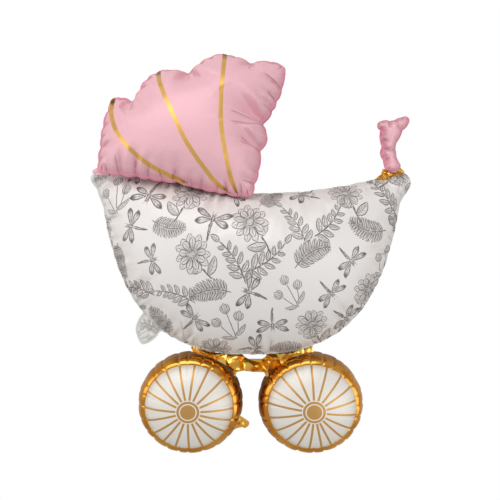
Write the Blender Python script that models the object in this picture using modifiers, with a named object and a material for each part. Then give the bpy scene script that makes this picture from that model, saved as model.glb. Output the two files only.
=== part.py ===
"""Foil balloon in the shape of a baby carriage, lying on its back.

Metres. +X runs to the handle's side, +Y to the hood, +Z up from the floor.
Every chamber is two sheets of film welded at a flat seam and blown up tight.
"""
import math

import bmesh
import bpy
import numpy as np

COLLECTION = "baby_carriage_balloon"
CUTTERS = "cutters"

# Fits
CLEARANCE = 0.0003        # air left between two pieces that touch
SEAM_WIDTH = 0.005        # flat welded rim round a chamber
SEAM_THICKNESS = 0.002

# Tub, the boat-shaped main chamber; its origin is the middle of its shoulder line
TUB_WIDTH = 0.737         # across the shoulders, without the corner lobes
TUB_DEPTH = 0.444         # shoulder line down to the lowest seam
TUB_THICKNESS = 0.270
TUB_FULLNESS = 2.4        # exponent of the lower edge, where 2 is an ellipse
TUB_TAPER = 0.04          # how much its sides pull in halfway down
TUB_TOP_SAG = 0.055       # shoulder line down to the top seam's lowest point
TUB_TOP_RADIUS = 1.150    # of the sagging top seam
TUB_TOP_LOW_X = 0.020     # the top seam's lowest point, from the middle
TUB_SPINE = 0.100         # length of the crest that the chamber swells from
TUB_SPINE_DROP = 0.165    # shoulder line down to that crest
TUB_SWELL_POWER = 1.5     # of its swelling, where the way from crest to seam is TUB_SWELL_REACH
TUB_SWELL_REACH = 0.200
TUB_SWELL_TURN = 0.5      # how much fuller it swells where that way is shorter
LEFT_LOBE_RADIUS = 0.019
LEFT_LOBE_REACH = 0.020   # how far the corner lobe stands past the shoulder
LEFT_LOBE_DROP = 0.024
RIGHT_LOBE_RADIUS = 0.0252
RIGHT_LOBE_REACH = 0.0143
RIGHT_LOBE_DROP = 0.024

# Hood, the scalloped chamber on the tub's left half
HOOD_WIDTH = 0.440
HOOD_HEIGHT = 0.364
HOOD_THICKNESS = 0.200
HOOD_LEAN = math.radians(10.0)
HOOD_INSET = 0.0125       # its lower left corner, in from the tub's shoulder
HOOD_OVERLAP = 0.021      # how far that corner comes down over the tub's top seam
# Corners and notches as shares of width and height, each with the bulge of the
# arc that leaves it, as a share of the arc's chord
HOOD_OUTLINE = (
    (0.000, 0.170, 0.00),
    (0.435, 0.097, 0.02),
    (0.810, 0.000, 0.05),
    (0.863, 0.312, 0.17),
    (0.882, 0.492, 0.08),
    (0.997, 0.895, 0.13),
    (0.810, 0.919, 0.24),
    (0.472, 0.854, 0.27),
    (0.177, 0.661, 0.14),
    (0.053, 0.671, 0.05),
)
HOOD_SPINE = ((0.277, 0.332), (0.741, 0.549))

# Handle, the forked chamber at the tub's right corner
HANDLE_WIDTH = 0.0785
HANDLE_HEIGHT = 0.130
HANDLE_THICKNESS = 0.045
HANDLE_INSET = 0.0285     # foot's point, in from the tub's shoulder
HANDLE_FOOT_RISE = 0.008  # foot's point above the tub's seam
HANDLE_OUTLINE = (
    (0.483, 0.000), (0.676, 0.130), (0.587, 0.517), (0.761, 0.735), (0.994, 0.939),
    (0.893, 0.998), (0.648, 0.964), (0.413, 0.931), (0.128, 0.931), (0.000, 0.853),
    (0.076, 0.663), (0.104, 0.420), (0.183, 0.109),
)
HANDLE_SPINE = ((0.434, 0.250), (0.434, 0.760))

# Collar, the gathered gold foil that the handle's foot stands in
COLLAR_LEFT = 0.043       # its reach to each side of the foot's point
COLLAR_RIGHT = 0.030
COLLAR_THICKNESS = 0.040
COLLAR_EDGE = 0.004       # height at its thin ends
COLLAR_PEAK = 0.015       # height of its middle above the tub's seam
COLLAR_GRIP = 0.001       # how far it reaches down round the seam

# Wheels, two drums whose round faces bulge; each wheel's axis is vertical
WHEEL_SPACING = 0.293
WHEEL_MIDDLE_X = -0.0015  # middle between the wheels, from the tub's middle
WHEEL_TUCK = 0.0005       # how far the wheels' tops rise past the tub's lowest seam
WHEEL_FACE = 0.212        # seam's diameter along X
WHEEL_SQUASH = 0.948      # the wheels are a little lower than wide
WHEEL_BULGE = 0.021       # how far the rim band stands out past the seam
WHEEL_BAND = 0.110        # between the two face seams
WHEEL_CROWN = 0.040       # how far each face bulges
WHEEL_REST = 0.034        # radius of the flat spot on each face

# Chassis, the crushed gold foil between the tub and the wheels
CHASSIS_WIDTH = 0.302
CHASSIS_MIDDLE_X = 0.001
CHASSIS_THICKNESS = 0.046
CHASSIS_EDGE = 0.006      # height at its two thin ends
AXLE_HEIGHT = 0.033
AXLE_DROP = 0.013         # the window between the tub's seam and the axle
WINDOW_WIDTH = 0.060

# Filling tails, two flat tabs of welded film
TAIL_LENGTH = 0.060
TAIL_WIDTH = 0.060
TAIL_THICKNESS = 0.003
TAIL_INSET = 0.1280       # its place on the tub's lower edge, in from the shoulder
TAB_LENGTH = 0.030
TAB_WIDTH = 0.030
TAB_THICKNESS = 0.003
TAB_ANGLE = math.radians(-22.0)
TAB_HOLE = 0.0015         # radius of the ribbon hole
# Outlines as shares of length and width, from the welded root outwards
TAIL_OUTLINE = (
    (0.00, -0.50), (0.08, -0.53), (0.43, -0.50), (0.79, -0.29), (1.00, 0.19),
    (0.84, 0.37), (0.47, 0.47), (0.17, 0.44), (0.00, 0.50),
)
TAB_OUTLINE = (
    (0.00, -0.50), (0.30, -0.42), (0.55, -0.30), (0.64, -0.37), (0.90, -0.30), (1.00, 0.05),
    (0.86, 0.33), (0.55, 0.36), (0.30, 0.42), (0.00, 0.50),
)
TAB_HOLE_PLACE = (0.30, 0.08)

# Places that follow from those sizes, from the tub's middle and shoulder line
HOOD_CORNER_X = HOOD_INSET + HOOD_OUTLINE[2][0] * HOOD_WIDTH - 0.5 * TUB_WIDTH
HANDLE_FOOT_X = 0.5 * TUB_WIDTH - HANDLE_INSET
TAIL_X = TAIL_INSET - 0.5 * TUB_WIDTH
WHEEL_CREST = 0.5 * WHEEL_FACE + WHEEL_BULGE
WHEEL_DROP = TUB_DEPTH + WHEEL_SQUASH * WHEEL_CREST - WHEEL_TUCK

# Fineness of the meshes
ARC_STEP = 0.013          # longest edge along an outline
RING_SHARES = (0.20, 0.50, 0.74, 0.90, 1.00)
SWELL_POWER = 2.2         # shape of a chamber's swelling, from crest to seam
SWELL_ROUND = 0.60
SWELL_POWER_LEAST = 0.9
SWELL_POWER_MOST = 8.0
WHEEL_STEPS = 44
FACE_SHARES = (0.62, 0.82, 0.95)
BAND_SHARES = (-0.82, -0.45, 0.0, 0.45, 0.82)
LOFT_STATIONS = 26
LOFT_SIDES = 10
HALVINGS = 40

PINK = (0.79, 0.42, 0.48, 1.0)
WHITE = (0.80, 0.78, 0.76, 1.0)
GOLD = (0.72, 0.40, 0.10, 1.0)
CLEAR = (0.70, 0.74, 0.69, 1.0)


def clear_scene():
    """Remove the objects of the open scene."""
    for old in list(bpy.data.objects):
        bpy.data.objects.remove(old)


def new_collection(name):
    """A collection of that name, linked to the scene."""
    collection = bpy.data.collections.new(name)
    bpy.context.scene.collection.children.link(collection)
    return collection


def foil(name, colour, roughness, metallic):
    """A Principled material for one piece."""
    material = bpy.data.materials.new(name)
    material.use_nodes = True
    shader = material.node_tree.nodes["Principled BSDF"]
    shader.inputs["Base Color"].default_value = colour
    shader.inputs["Roughness"].default_value = roughness
    shader.inputs["Metallic"].default_value = metallic
    return material


def place(name, data, collection, parent, material=None, location=(0.0, 0.0, 0.0)):
    """An object for the mesh or curve, in the collection and under its parent."""
    piece = bpy.data.objects.new(name, data)
    collection.objects.link(piece)
    piece.parent = parent
    piece.location = location
    if material is not None:
        piece.data.materials.append(material)
    return piece


def smooth_outline(points, steps):
    """Points of a closed smooth curve through the given ones, evenly spaced in each span."""
    source = np.array(points)
    count = len(source)
    smooth = []
    for i in range(count):
        before, start, end, after = (source[(i + k) % count] for k in (-1, 0, 1, 2))
        for k in range(steps):
            t = k / steps
            smooth.append(0.5 * (2 * start + (end - before) * t
                                 + (2 * before - 5 * start + 4 * end - after) * t ** 2
                                 + (3 * start - before - 3 * end + after) * t ** 3))
    return np.array(smooth)


def scalloped_outline(corners, width, height):
    """Closed outline whose corners are joined by arcs that bulge outwards."""
    points = []
    for i, (u, v, bulge) in enumerate(corners):
        after_u, after_v, _ = corners[(i + 1) % len(corners)]
        start = np.array((u * width, v * height))
        end = np.array((after_u * width, after_v * height))
        chord = end - start
        outward = np.array((chord[1], -chord[0]))
        count = max(2, round(float(np.linalg.norm(chord)) / ARC_STEP))
        for k in range(count):
            t = k / count
            points.append(start + t * chord + 4 * bulge * t * (1 - t) * outward)
    return np.array(points)


def swelling(share, power=SWELL_POWER):
    """Height of a chamber at a share of the way from crest to seam, 1 at the crest."""
    crest = (1 - RING_SHARES[0] ** power) ** SWELL_ROUND
    return (1 - np.minimum(share, 1.0) ** power) ** SWELL_ROUND / crest


def tub_swell_power(reach):
    """Power of the tub's swelling where the way from crest to seam has that length."""
    power = TUB_SWELL_POWER * (TUB_SWELL_REACH / reach) ** TUB_SWELL_TURN
    return np.clip(power, SWELL_POWER_LEAST, SWELL_POWER_MOST)


def grown_outline(outline, distance):
    """The counter-clockwise outline moved outwards, square to itself."""
    ahead = np.roll(outline, -1, axis=0) - np.roll(outline, 1, axis=0)
    outward = np.stack((ahead[:, 1], -ahead[:, 0]), axis=1)
    return outline + distance * outward / np.linalg.norm(outward, axis=1, keepdims=True)


def pillow_mesh(name, outline, spine, thickness, swell_power=None, grow=0.0):
    """Closed chamber of two swollen sheets that meet in a flat welded rim.

    The rings shrink from the outline to the spine. swell_power gives the
    swelling's power at a reach from crest to seam. grow makes the chamber
    larger all round, for cutting its neighbours with a gap.
    """
    outline = grown_outline(outline, grow)
    start, end = (np.array(point) for point in spine)
    along = np.clip((outline - start) @ (end - start) / np.sum((end - start) ** 2), 0.0, 1.0)
    foot = start + along[:, None] * (end - start)
    reach = np.linalg.norm(outline - foot, axis=1)
    heading = (outline - foot) / reach[:, None]
    seam = reach - SEAM_WIDTH
    power = SWELL_POWER if swell_power is None else swell_power(reach)
    rim = np.full(len(outline), 0.5 * SEAM_THICKNESS)
    rings = []
    for share in RING_SHARES:
        height = np.maximum(0.5 * thickness * swelling(share, power), rim) + grow
        rings.append((seam * share, height))
    rings.append((reach, rim + grow))
    rings += [(radius, -height) for radius, height in reversed(rings)]
    shell = bmesh.new()
    loops = []
    for radius, height in rings:
        flat = foot + heading * radius[:, None]
        loops.append([shell.verts.new((x, y, z)) for (x, y), z in zip(flat, height)])
    count = len(outline)
    for inner, outer in zip(loops, loops[1:]):
        for k in range(count):
            after = (k + 1) % count
            shell.faces.new((inner[k], outer[k], outer[after], inner[after]))
    shell.faces.new(loops[0])
    shell.faces.new(reversed(loops[-1]))
    bmesh.ops.triangulate(shell, faces=shell.faces)
    mesh = bpy.data.meshes.new(name)
    shell.to_mesh(mesh)
    shell.free()
    mesh.shade_smooth()
    mesh.set_sharp_from_angle(angle=math.radians(40))
    return mesh


def tub_half_width(y):
    """Half the tub's width at y, from its shoulder line down to its lowest seam."""
    down = min(abs(y) / TUB_DEPTH, 1.0)
    full = (1 - down ** TUB_FULLNESS) ** (1 / TUB_FULLNESS)
    return 0.5 * TUB_WIDTH * full * (1 - TUB_TAPER * math.sin(math.pi * down))


def tub_lower_seam(x):
    """Height of the tub's lower edge at x, found by halving."""
    low, high = -TUB_DEPTH, 0.0
    for _ in range(HALVINGS):
        middle = (low + high) / 2
        if tub_half_width(middle) < abs(x):
            low = middle
        else:
            high = middle
    return high


def right_lobe_centre():
    """Centre of the round corner beside the handle."""
    return 0.5 * TUB_WIDTH + RIGHT_LOBE_REACH - RIGHT_LOBE_RADIUS, -RIGHT_LOBE_DROP


def left_lobe_centre():
    """Centre of the pinched corner under the hood."""
    return -(0.5 * TUB_WIDTH + LEFT_LOBE_REACH - LEFT_LOBE_RADIUS), -LEFT_LOBE_DROP


def tub_sag(x):
    """Height of the sagging top seam at x, between the two corner lobes."""
    across = x - TUB_TOP_LOW_X
    return TUB_TOP_RADIUS - math.sqrt(TUB_TOP_RADIUS ** 2 - across ** 2) - TUB_TOP_SAG


def tub_top_seam(x):
    """Height of the tub's upper edge at x, over the right lobe too."""
    centre_x, centre_y = right_lobe_centre()
    across = abs(x - centre_x)
    if across >= RIGHT_LOBE_RADIUS:
        return tub_sag(x)
    return max(tub_sag(x), centre_y + math.sqrt(RIGHT_LOBE_RADIUS ** 2 - across ** 2))


def on_circle(centre, radius, degrees):
    """Point of a circle at an angle from +X."""
    angle = math.radians(degrees)
    return centre[0] + radius * math.cos(angle), centre[1] + radius * math.sin(angle)


def tub_outline():
    """The tub's closed outline: lobe, sagging top, lobe, full lower edge."""
    right = [on_circle(right_lobe_centre(), RIGHT_LOBE_RADIUS, angle) for angle in (-60, -10, 40, 90, 135)]
    left = [on_circle(left_lobe_centre(), LEFT_LOBE_RADIUS, angle) for angle in (100, 150, 200, 250)]
    high = right_lobe_centre()[0] - 1.7 * RIGHT_LOBE_RADIUS
    low = left_lobe_centre()[0] + 2.0 * LEFT_LOBE_RADIUS
    top = [(x, tub_sag(x)) for x in np.linspace(high, low, 9)]
    lower = []
    for turn in np.radians(np.linspace(188.0, 352.0, 15)):
        y = -TUB_DEPTH * abs(math.sin(turn)) ** (2 / TUB_FULLNESS)
        lower.append((math.copysign(tub_half_width(y), math.cos(turn)), y))
    return smooth_outline(right + top + left + lower, steps=2)


def tub_spine():
    """The crest that the tub swells from."""
    return (-0.5 * TUB_SPINE, -TUB_SPINE_DROP), (0.5 * TUB_SPINE, -TUB_SPINE_DROP)


def tub_front_height(x, y):
    """Height of the tub's front sheet above its middle plane, at a point inside it."""
    along = min(max(x, -0.5 * TUB_SPINE), 0.5 * TUB_SPINE)
    reach = math.hypot(x - along, tub_top_seam(x) + TUB_SPINE_DROP)
    share = math.hypot(x - along, y + TUB_SPINE_DROP) / (reach - SEAM_WIDTH)
    return 0.5 * TUB_THICKNESS * float(swelling(share, tub_swell_power(reach)))


def make_tub(parts, cutters, root, middle):
    """The tub, and the slightly larger copy that cuts the hood."""
    outline = tub_outline()
    mesh = pillow_mesh("tub_balloon", outline, tub_spine(), TUB_THICKNESS, tub_swell_power)
    place("tub_balloon", mesh, parts, root, foil("tub_foil", WHITE, 0.35, 0.2), (0, 0, middle))
    grown = pillow_mesh("tub_cutter", outline, tub_spine(), TUB_THICKNESS, tub_swell_power, grow=CLEARANCE)
    cutter = place("tub_cutter", grown, cutters, root, location=(0, 0, middle))
    hide_cutter(cutter)
    return cutter


def hide_cutter(cutter):
    """Show a cutter as wires and keep it out of renders."""
    cutter.hide_render = True
    cutter.display_type = "WIRE"


def cut(piece, cutter, name):
    """Take the cutter's shape out of the piece."""
    difference = piece.modifiers.new(name, "BOOLEAN")
    difference.operation = "DIFFERENCE"
    difference.solver = "EXACT"
    difference.object = cutter


def make_hood(parts, root, middle, tub_cutter):
    """The hood: it leans back and its lower corner rests on the tub's front sheet."""
    outline = scalloped_outline(HOOD_OUTLINE, HOOD_WIDTH, HOOD_HEIGHT)
    corner = np.array((HOOD_OUTLINE[2][0] * HOOD_WIDTH, HOOD_OUTLINE[2][1] * HOOD_HEIGHT))
    spine = [np.array((u * HOOD_WIDTH, v * HOOD_HEIGHT)) - corner for u, v in HOOD_SPINE]
    mesh = pillow_mesh("hood_balloon", outline - corner, spine, HOOD_THICKNESS)
    foot_y = tub_top_seam(HOOD_CORNER_X) - HOOD_OVERLAP
    lift = tub_front_height(HOOD_CORNER_X, foot_y)
    hood = place("hood_balloon", mesh, parts, root, foil("hood_foil", PINK, 0.35, 0.2),
                 (HOOD_CORNER_X, foot_y, middle + lift))
    hood.rotation_euler = (-HOOD_LEAN, 0, 0)
    cut(hood, tub_cutter, "seat on tub")


def make_handle(parts, cutters, root, middle):
    """The handle, and the slightly larger copy that cuts the collar."""
    size = np.array((HANDLE_WIDTH, HANDLE_HEIGHT))
    foot = np.array(HANDLE_OUTLINE[0]) * size
    outline = smooth_outline(np.array(HANDLE_OUTLINE) * size - foot, steps=3)
    spine = [np.array(point) * size - foot for point in HANDLE_SPINE]
    spot = (HANDLE_FOOT_X, tub_top_seam(HANDLE_FOOT_X) + HANDLE_FOOT_RISE, middle)
    mesh = pillow_mesh("handle_balloon", outline, spine, HANDLE_THICKNESS)
    place("handle_balloon", mesh, parts, root, foil("handle_foil", PINK, 0.35, 0.2), spot)
    grown = pillow_mesh("handle_cutter", outline, spine, HANDLE_THICKNESS, grow=CLEARANCE)
    cutter = place("handle_cutter", grown, cutters, root, location=spot)
    hide_cutter(cutter)
    return cutter


def loft(name, stations):
    """Closed body through flattened rings that stand across X.

    Each station is x, the low and high edge as (y, z), and half the thickness.
    """
    body = bmesh.new()
    loops = []
    for x, low, high, half in stations:
        low, high = np.array(low), np.array(high)
        centre = 0.5 * (low + high)
        tall = 0.5 * (high - low)
        deep = np.array((0.0, half))
        loop = []
        for k in range(LOFT_SIDES):
            turn = 2 * math.pi * k / LOFT_SIDES
            y, z = centre + tall * math.cos(turn) + deep * math.sin(turn)
            loop.append(body.verts.new((x, y, z)))
        loops.append(loop)
    for near, far in zip(loops, loops[1:]):
        for k in range(LOFT_SIDES):
            after = (k + 1) % LOFT_SIDES
            body.faces.new((near[k], near[after], far[after], far[k]))
    body.faces.new(reversed(loops[0]))
    body.faces.new(loops[-1])
    bmesh.ops.triangulate(body, faces=body.faces)
    mesh = bpy.data.meshes.new(name)
    body.to_mesh(mesh)
    body.free()
    mesh.shade_smooth()
    mesh.set_sharp_from_angle(angle=math.radians(50))
    return mesh


def make_collar(parts, root, middle, tub_cutter, handle_cutter):
    """The collar, which sits on the tub's seam with a peak to each side of the foot."""
    stations = []
    for x in np.linspace(HANDLE_FOOT_X - COLLAR_LEFT, HANDLE_FOOT_X + COLLAR_RIGHT, LOFT_STATIONS):
        side = (x - HANDLE_FOOT_X) / (COLLAR_LEFT if x < HANDLE_FOOT_X else COLLAR_RIGHT)
        rise = COLLAR_EDGE + (COLLAR_PEAK - COLLAR_EDGE) * (1 - abs(side) ** 2)
        seam = tub_top_seam(x)
        half = 0.5 * COLLAR_THICKNESS * (1 - 0.6 * side ** 2)
        stations.append((x, (seam - COLLAR_GRIP, middle), (seam + rise, middle), half))
    mesh = loft("handle_collar", stations)
    collar = place("handle_collar", mesh, parts, root, foil("collar_foil", GOLD, 0.2, 1.0))
    cut(collar, tub_cutter, "seat on tub")
    cut(collar, handle_cutter, "seat of foot")


def wheel_radius_at(angle):
    """Outer radius of a wheel in a direction from +X, squashed along Y."""
    return WHEEL_CREST / math.hypot(math.cos(angle), math.sin(angle) / WHEEL_SQUASH)


def wheel_top(x):
    """Height above the wheel's centre of its upper edge at x, or None beside it."""
    if abs(x) >= WHEEL_CREST:
        return None
    return WHEEL_SQUASH * math.sqrt(WHEEL_CREST ** 2 - x ** 2)


def wheel_thickness():
    """Across a wheel, from crown to crown."""
    return WHEEL_BAND + 2 * WHEEL_CROWN


def make_wheel(name, x, parts, root, material):
    """One wheel: a turned drum with crowned faces and a bulging rim band."""
    half_face = 0.5 * WHEEL_FACE
    half_band = 0.5 * WHEEL_BAND
    top = half_band + WHEEL_CROWN
    face = [(0.0, top), (WHEEL_REST, top)]
    for share in FACE_SHARES:
        inward = (share * half_face - WHEEL_REST) / (half_face - WHEEL_REST)
        face.append((share * half_face, half_band + WHEEL_CROWN * (1 - inward ** 2) ** 0.75))
    face.append((half_face, half_band))
    band = [(half_face + WHEEL_BULGE * (1 - share ** 2) ** 0.5, -share * half_band)
            for share in BAND_SHARES]
    profile = face + band + [(r, -z) for r, z in reversed(face)]
    turned = bmesh.new()
    corners = [turned.verts.new((r, 0.0, z)) for r, z in profile]
    for upper, lower in zip(corners, corners[1:]):
        turned.edges.new((upper, lower))
    mesh = bpy.data.meshes.new(name)
    turned.to_mesh(mesh)
    turned.free()
    wheel = place(name, mesh, parts, root, material, (x, -WHEEL_DROP, 0.5 * wheel_thickness()))
    wheel.scale = (1.0, WHEEL_SQUASH, 1.0)
    screw = wheel.modifiers.new("turned drum", "SCREW")
    screw.steps = WHEEL_STEPS
    screw.render_steps = WHEEL_STEPS
    screw.use_merge_vertices = True
    screw.merge_threshold = 0.0001
    screw.use_smooth_shade = True


def make_chassis(parts, root, middle):
    """The chassis: two saddles under the tub, joined by the axle between the wheels."""
    wheel_middle = 0.5 * wheel_thickness()
    centres = [WHEEL_MIDDLE_X + side * 0.5 * WHEEL_SPACING for side in (-1, 1)]
    stations = []
    for x in np.linspace(-0.5 * CHASSIS_WIDTH, 0.5 * CHASSIS_WIDTH, LOFT_STATIONS) + CHASSIS_MIDDLE_X:
        high = tub_lower_seam(x) - CLEARANCE
        window = max(0.0, 1 - (2 * abs(x - CHASSIS_MIDDLE_X) / WINDOW_WIDTH) ** 6)
        high -= AXLE_DROP * window
        low = -TUB_DEPTH - AXLE_DROP - AXLE_HEIGHT
        for centre in centres:
            top = wheel_top(x - centre)
            if top is not None:
                low = max(low, top - WHEEL_DROP + CLEARANCE)
        ends = min(1.0, (0.5 * CHASSIS_WIDTH - abs(x - CHASSIS_MIDDLE_X)) / (0.25 * CHASSIS_WIDTH))
        low = max(low, high - CHASSIS_EDGE - ends * (high - low))
        half = 0.5 * CHASSIS_THICKNESS * (0.5 + 0.5 * ends)
        stations.append((x, (low, wheel_middle), (high, middle), half))
    mesh = loft("chassis", stations)
    place("chassis", mesh, parts, root, foil("chassis_foil", GOLD, 0.2, 1.0))


def flat_tab(name, outline, length, width, thickness, hole=None):
    """Flat tab from a closed outline; +X is its length, from its root outwards."""
    curve = bpy.data.curves.new(name, "CURVE")
    curve.dimensions = "2D"
    curve.fill_mode = "BOTH"
    curve.extrude = 0.5 * thickness
    loops = [[(u * length, v * width) for u, v in outline]]
    if hole is not None:
        centre = (hole[0] * length, hole[1] * width)
        loops.append([on_circle(centre, TAB_HOLE, degrees) for degrees in range(0, 360, 45)])
    for loop in loops:
        spline = curve.splines.new("POLY")
        spline.points.add(len(loop) - 1)
        for point, (x, y) in zip(spline.points, loop):
            point.co = (x, y, 0.0, 1.0)
        spline.use_cyclic_u = True
    return curve


def make_tail(parts, root, middle):
    """The tub's filling tail, square to the lower edge of the tub."""
    y = tub_lower_seam(TAIL_X)
    near = TAIL_X - 0.5 * TAIL_WIDTH
    far = TAIL_X + 0.5 * TAIL_WIDTH
    heading = math.atan2(near - far, tub_lower_seam(far) - tub_lower_seam(near))
    curve = flat_tab("tub_filling_tail", TAIL_OUTLINE, TAIL_LENGTH, TAIL_WIDTH, TAIL_THICKNESS)
    tail = place("tub_filling_tail", curve, parts, root, foil("tail_film", CLEAR, 0.3, 0.0))
    tail.location = (TAIL_X + CLEARANCE * math.cos(heading), y + CLEARANCE * math.sin(heading), middle)
    tail.rotation_euler = (0, 0, heading)


def make_tab(parts, root):
    """The filling tab on the left wheel's rim, with its ribbon hole."""
    curve = flat_tab("wheel_filling_tab", TAB_OUTLINE, TAB_LENGTH, TAB_WIDTH, TAB_THICKNESS, TAB_HOLE_PLACE)
    tab = place("wheel_filling_tab", curve, parts, root, foil("tab_foil", GOLD, 0.2, 1.0))
    radius = wheel_radius_at(TAB_ANGLE) + 2 * CLEARANCE
    tab.location = (WHEEL_MIDDLE_X - 0.5 * WHEEL_SPACING + radius * math.cos(TAB_ANGLE),
                    radius * math.sin(TAB_ANGLE) - WHEEL_DROP, 0.5 * wheel_thickness())
    tab.rotation_euler = (0, 0, TAB_ANGLE)


def centre_on_floor(root, parts):
    """Move everything so that the origin is under the middle of the whole box."""
    bpy.context.view_layer.update()
    depsgraph = bpy.context.evaluated_depsgraph_get()
    corners = []
    for piece in parts.objects:
        if piece.type == "EMPTY":
            continue
        evaluated = piece.evaluated_get(depsgraph)
        mesh = evaluated.to_mesh()
        corners += [evaluated.matrix_world @ vertex.co for vertex in mesh.vertices]
        evaluated.to_mesh_clear()
    spread = np.array(corners)
    low, high = spread.min(axis=0), spread.max(axis=0)
    root.location = (-0.5 * (low[0] + high[0]), -0.5 * (low[1] + high[1]), -low[2])
    bpy.context.view_layer.update()


def main():
    """Build the balloon."""
    clear_scene()
    parts = new_collection(COLLECTION)
    cutters = new_collection(CUTTERS)
    root = bpy.data.objects.new("carriage", None)
    parts.objects.link(root)
    middle = 0.5 * TUB_THICKNESS
    tub_cutter = make_tub(parts, cutters, root, middle)
    make_hood(parts, root, middle, tub_cutter)
    handle_cutter = make_handle(parts, cutters, root, middle)
    make_collar(parts, root, middle, tub_cutter, handle_cutter)
    for name, side in (("wheel_balloon_left", -1), ("wheel_balloon_right", 1)):
        material = foil(name.replace("balloon", "foil"), WHITE, 0.3, 0.3)
        make_wheel(name, WHEEL_MIDDLE_X + side * 0.5 * WHEEL_SPACING, parts, root, material)
    make_chassis(parts, root, middle)
    make_tail(parts, root, middle)
    make_tab(parts, root)
    centre_on_floor(root, parts)


main()
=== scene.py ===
"""Looks of the baby carriage foil balloon: blown-up film, gold foil, print and studio.

Metres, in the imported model's frame: +X to the handle's side, +Y to the hood, +Z up from
the floor. The balloon lies on its back and the camera looks straight down on it.
"""

import logging
import math
from collections.abc import Callable
from dataclasses import dataclass, field
from enum import Enum

import bmesh
import bpy
import numpy as np
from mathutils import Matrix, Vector
from mathutils.bvhtree import BVHTree
from mathutils.geometry import delaunay_2d_cdt


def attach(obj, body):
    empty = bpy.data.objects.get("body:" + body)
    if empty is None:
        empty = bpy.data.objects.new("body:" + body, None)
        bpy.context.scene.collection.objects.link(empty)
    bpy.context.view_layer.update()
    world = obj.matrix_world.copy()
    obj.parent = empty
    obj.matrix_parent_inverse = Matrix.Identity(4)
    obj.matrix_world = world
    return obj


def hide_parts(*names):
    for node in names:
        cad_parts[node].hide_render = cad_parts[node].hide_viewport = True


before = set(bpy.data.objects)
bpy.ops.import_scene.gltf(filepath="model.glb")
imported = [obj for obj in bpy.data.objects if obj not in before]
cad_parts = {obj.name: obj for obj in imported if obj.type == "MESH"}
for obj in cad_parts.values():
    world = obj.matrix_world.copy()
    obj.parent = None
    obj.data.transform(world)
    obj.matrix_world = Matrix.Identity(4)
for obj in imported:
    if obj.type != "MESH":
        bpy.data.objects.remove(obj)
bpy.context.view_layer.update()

LOG = logging.getLogger("carriage_balloon")
BODY = "root"

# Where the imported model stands, from part.py
SHOULDER = np.array((0.00288, 0.20303))   # middle of the tub's shoulder line
MIDDLE = 0.135                            # height of the tub's seam above the floor
WHEEL_MIDDLE = 0.095                      # height of the wheels' middle plane

# The eye, straight above
CAMERA_HEIGHT = 1.635
CAMERA_Y = 0.0109

MM_PER_M = 1000


# ---------------------------------------------------------------- outlines

def smooth_closed(points: np.ndarray, steps: int) -> np.ndarray:
    """Pass a smooth closed curve through points.

    Args:
        points: corners of the curve, one per row.
        steps: points made in each span.

    Returns:
        The curve's points.
    """
    source = np.array(points, dtype=float)
    count = len(source)
    smooth = []
    for i in range(count):
        before, start, end, after = (source[(i + k) % count] for k in (-1, 0, 1, 2))
        for k in range(steps):
            t = k / steps
            smooth.append(0.5 * (2 * start + (end - before) * t
                                 + (2 * before - 5 * start + 4 * end - after) * t ** 2
                                 + (3 * start - before - 3 * end + after) * t ** 3))
    return np.array(smooth)


def smooth_line(points: np.ndarray, steps: int) -> np.ndarray:
    """Pass an open smooth line through points, with that many pieces in each span."""
    held = np.vstack((2 * points[0] - points[1], points, 2 * points[-1] - points[-2]))
    smooth = smooth_closed(held, steps)[steps:steps * len(points)]
    return np.vstack((smooth[:steps * (len(points) - 1)], points[-1]))


def scalloped(corners: tuple, width: float, height: float, step: float) -> np.ndarray:
    """Join corners by arcs that bulge outwards.

    Args:
        corners: share of width, share of height and bulge of the arc that leaves it.
        width: size along X.
        height: size along Y.
        step: length of the pieces that each arc is cut into.

    Returns:
        The closed outline's points.
    """
    points = []
    for i, (u, v, bulge) in enumerate(corners):
        after_u, after_v, _ = corners[(i + 1) % len(corners)]
        start = np.array((u * width, v * height))
        chord = np.array((after_u * width, after_v * height)) - start
        outward = np.array((chord[1], -chord[0]))
        count = max(2, round(float(np.linalg.norm(chord)) / step))
        for k in range(count):
            t = k / count
            points.append(start + t * chord + 4 * bulge * t * (1 - t) * outward)
    return np.array(points)


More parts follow.
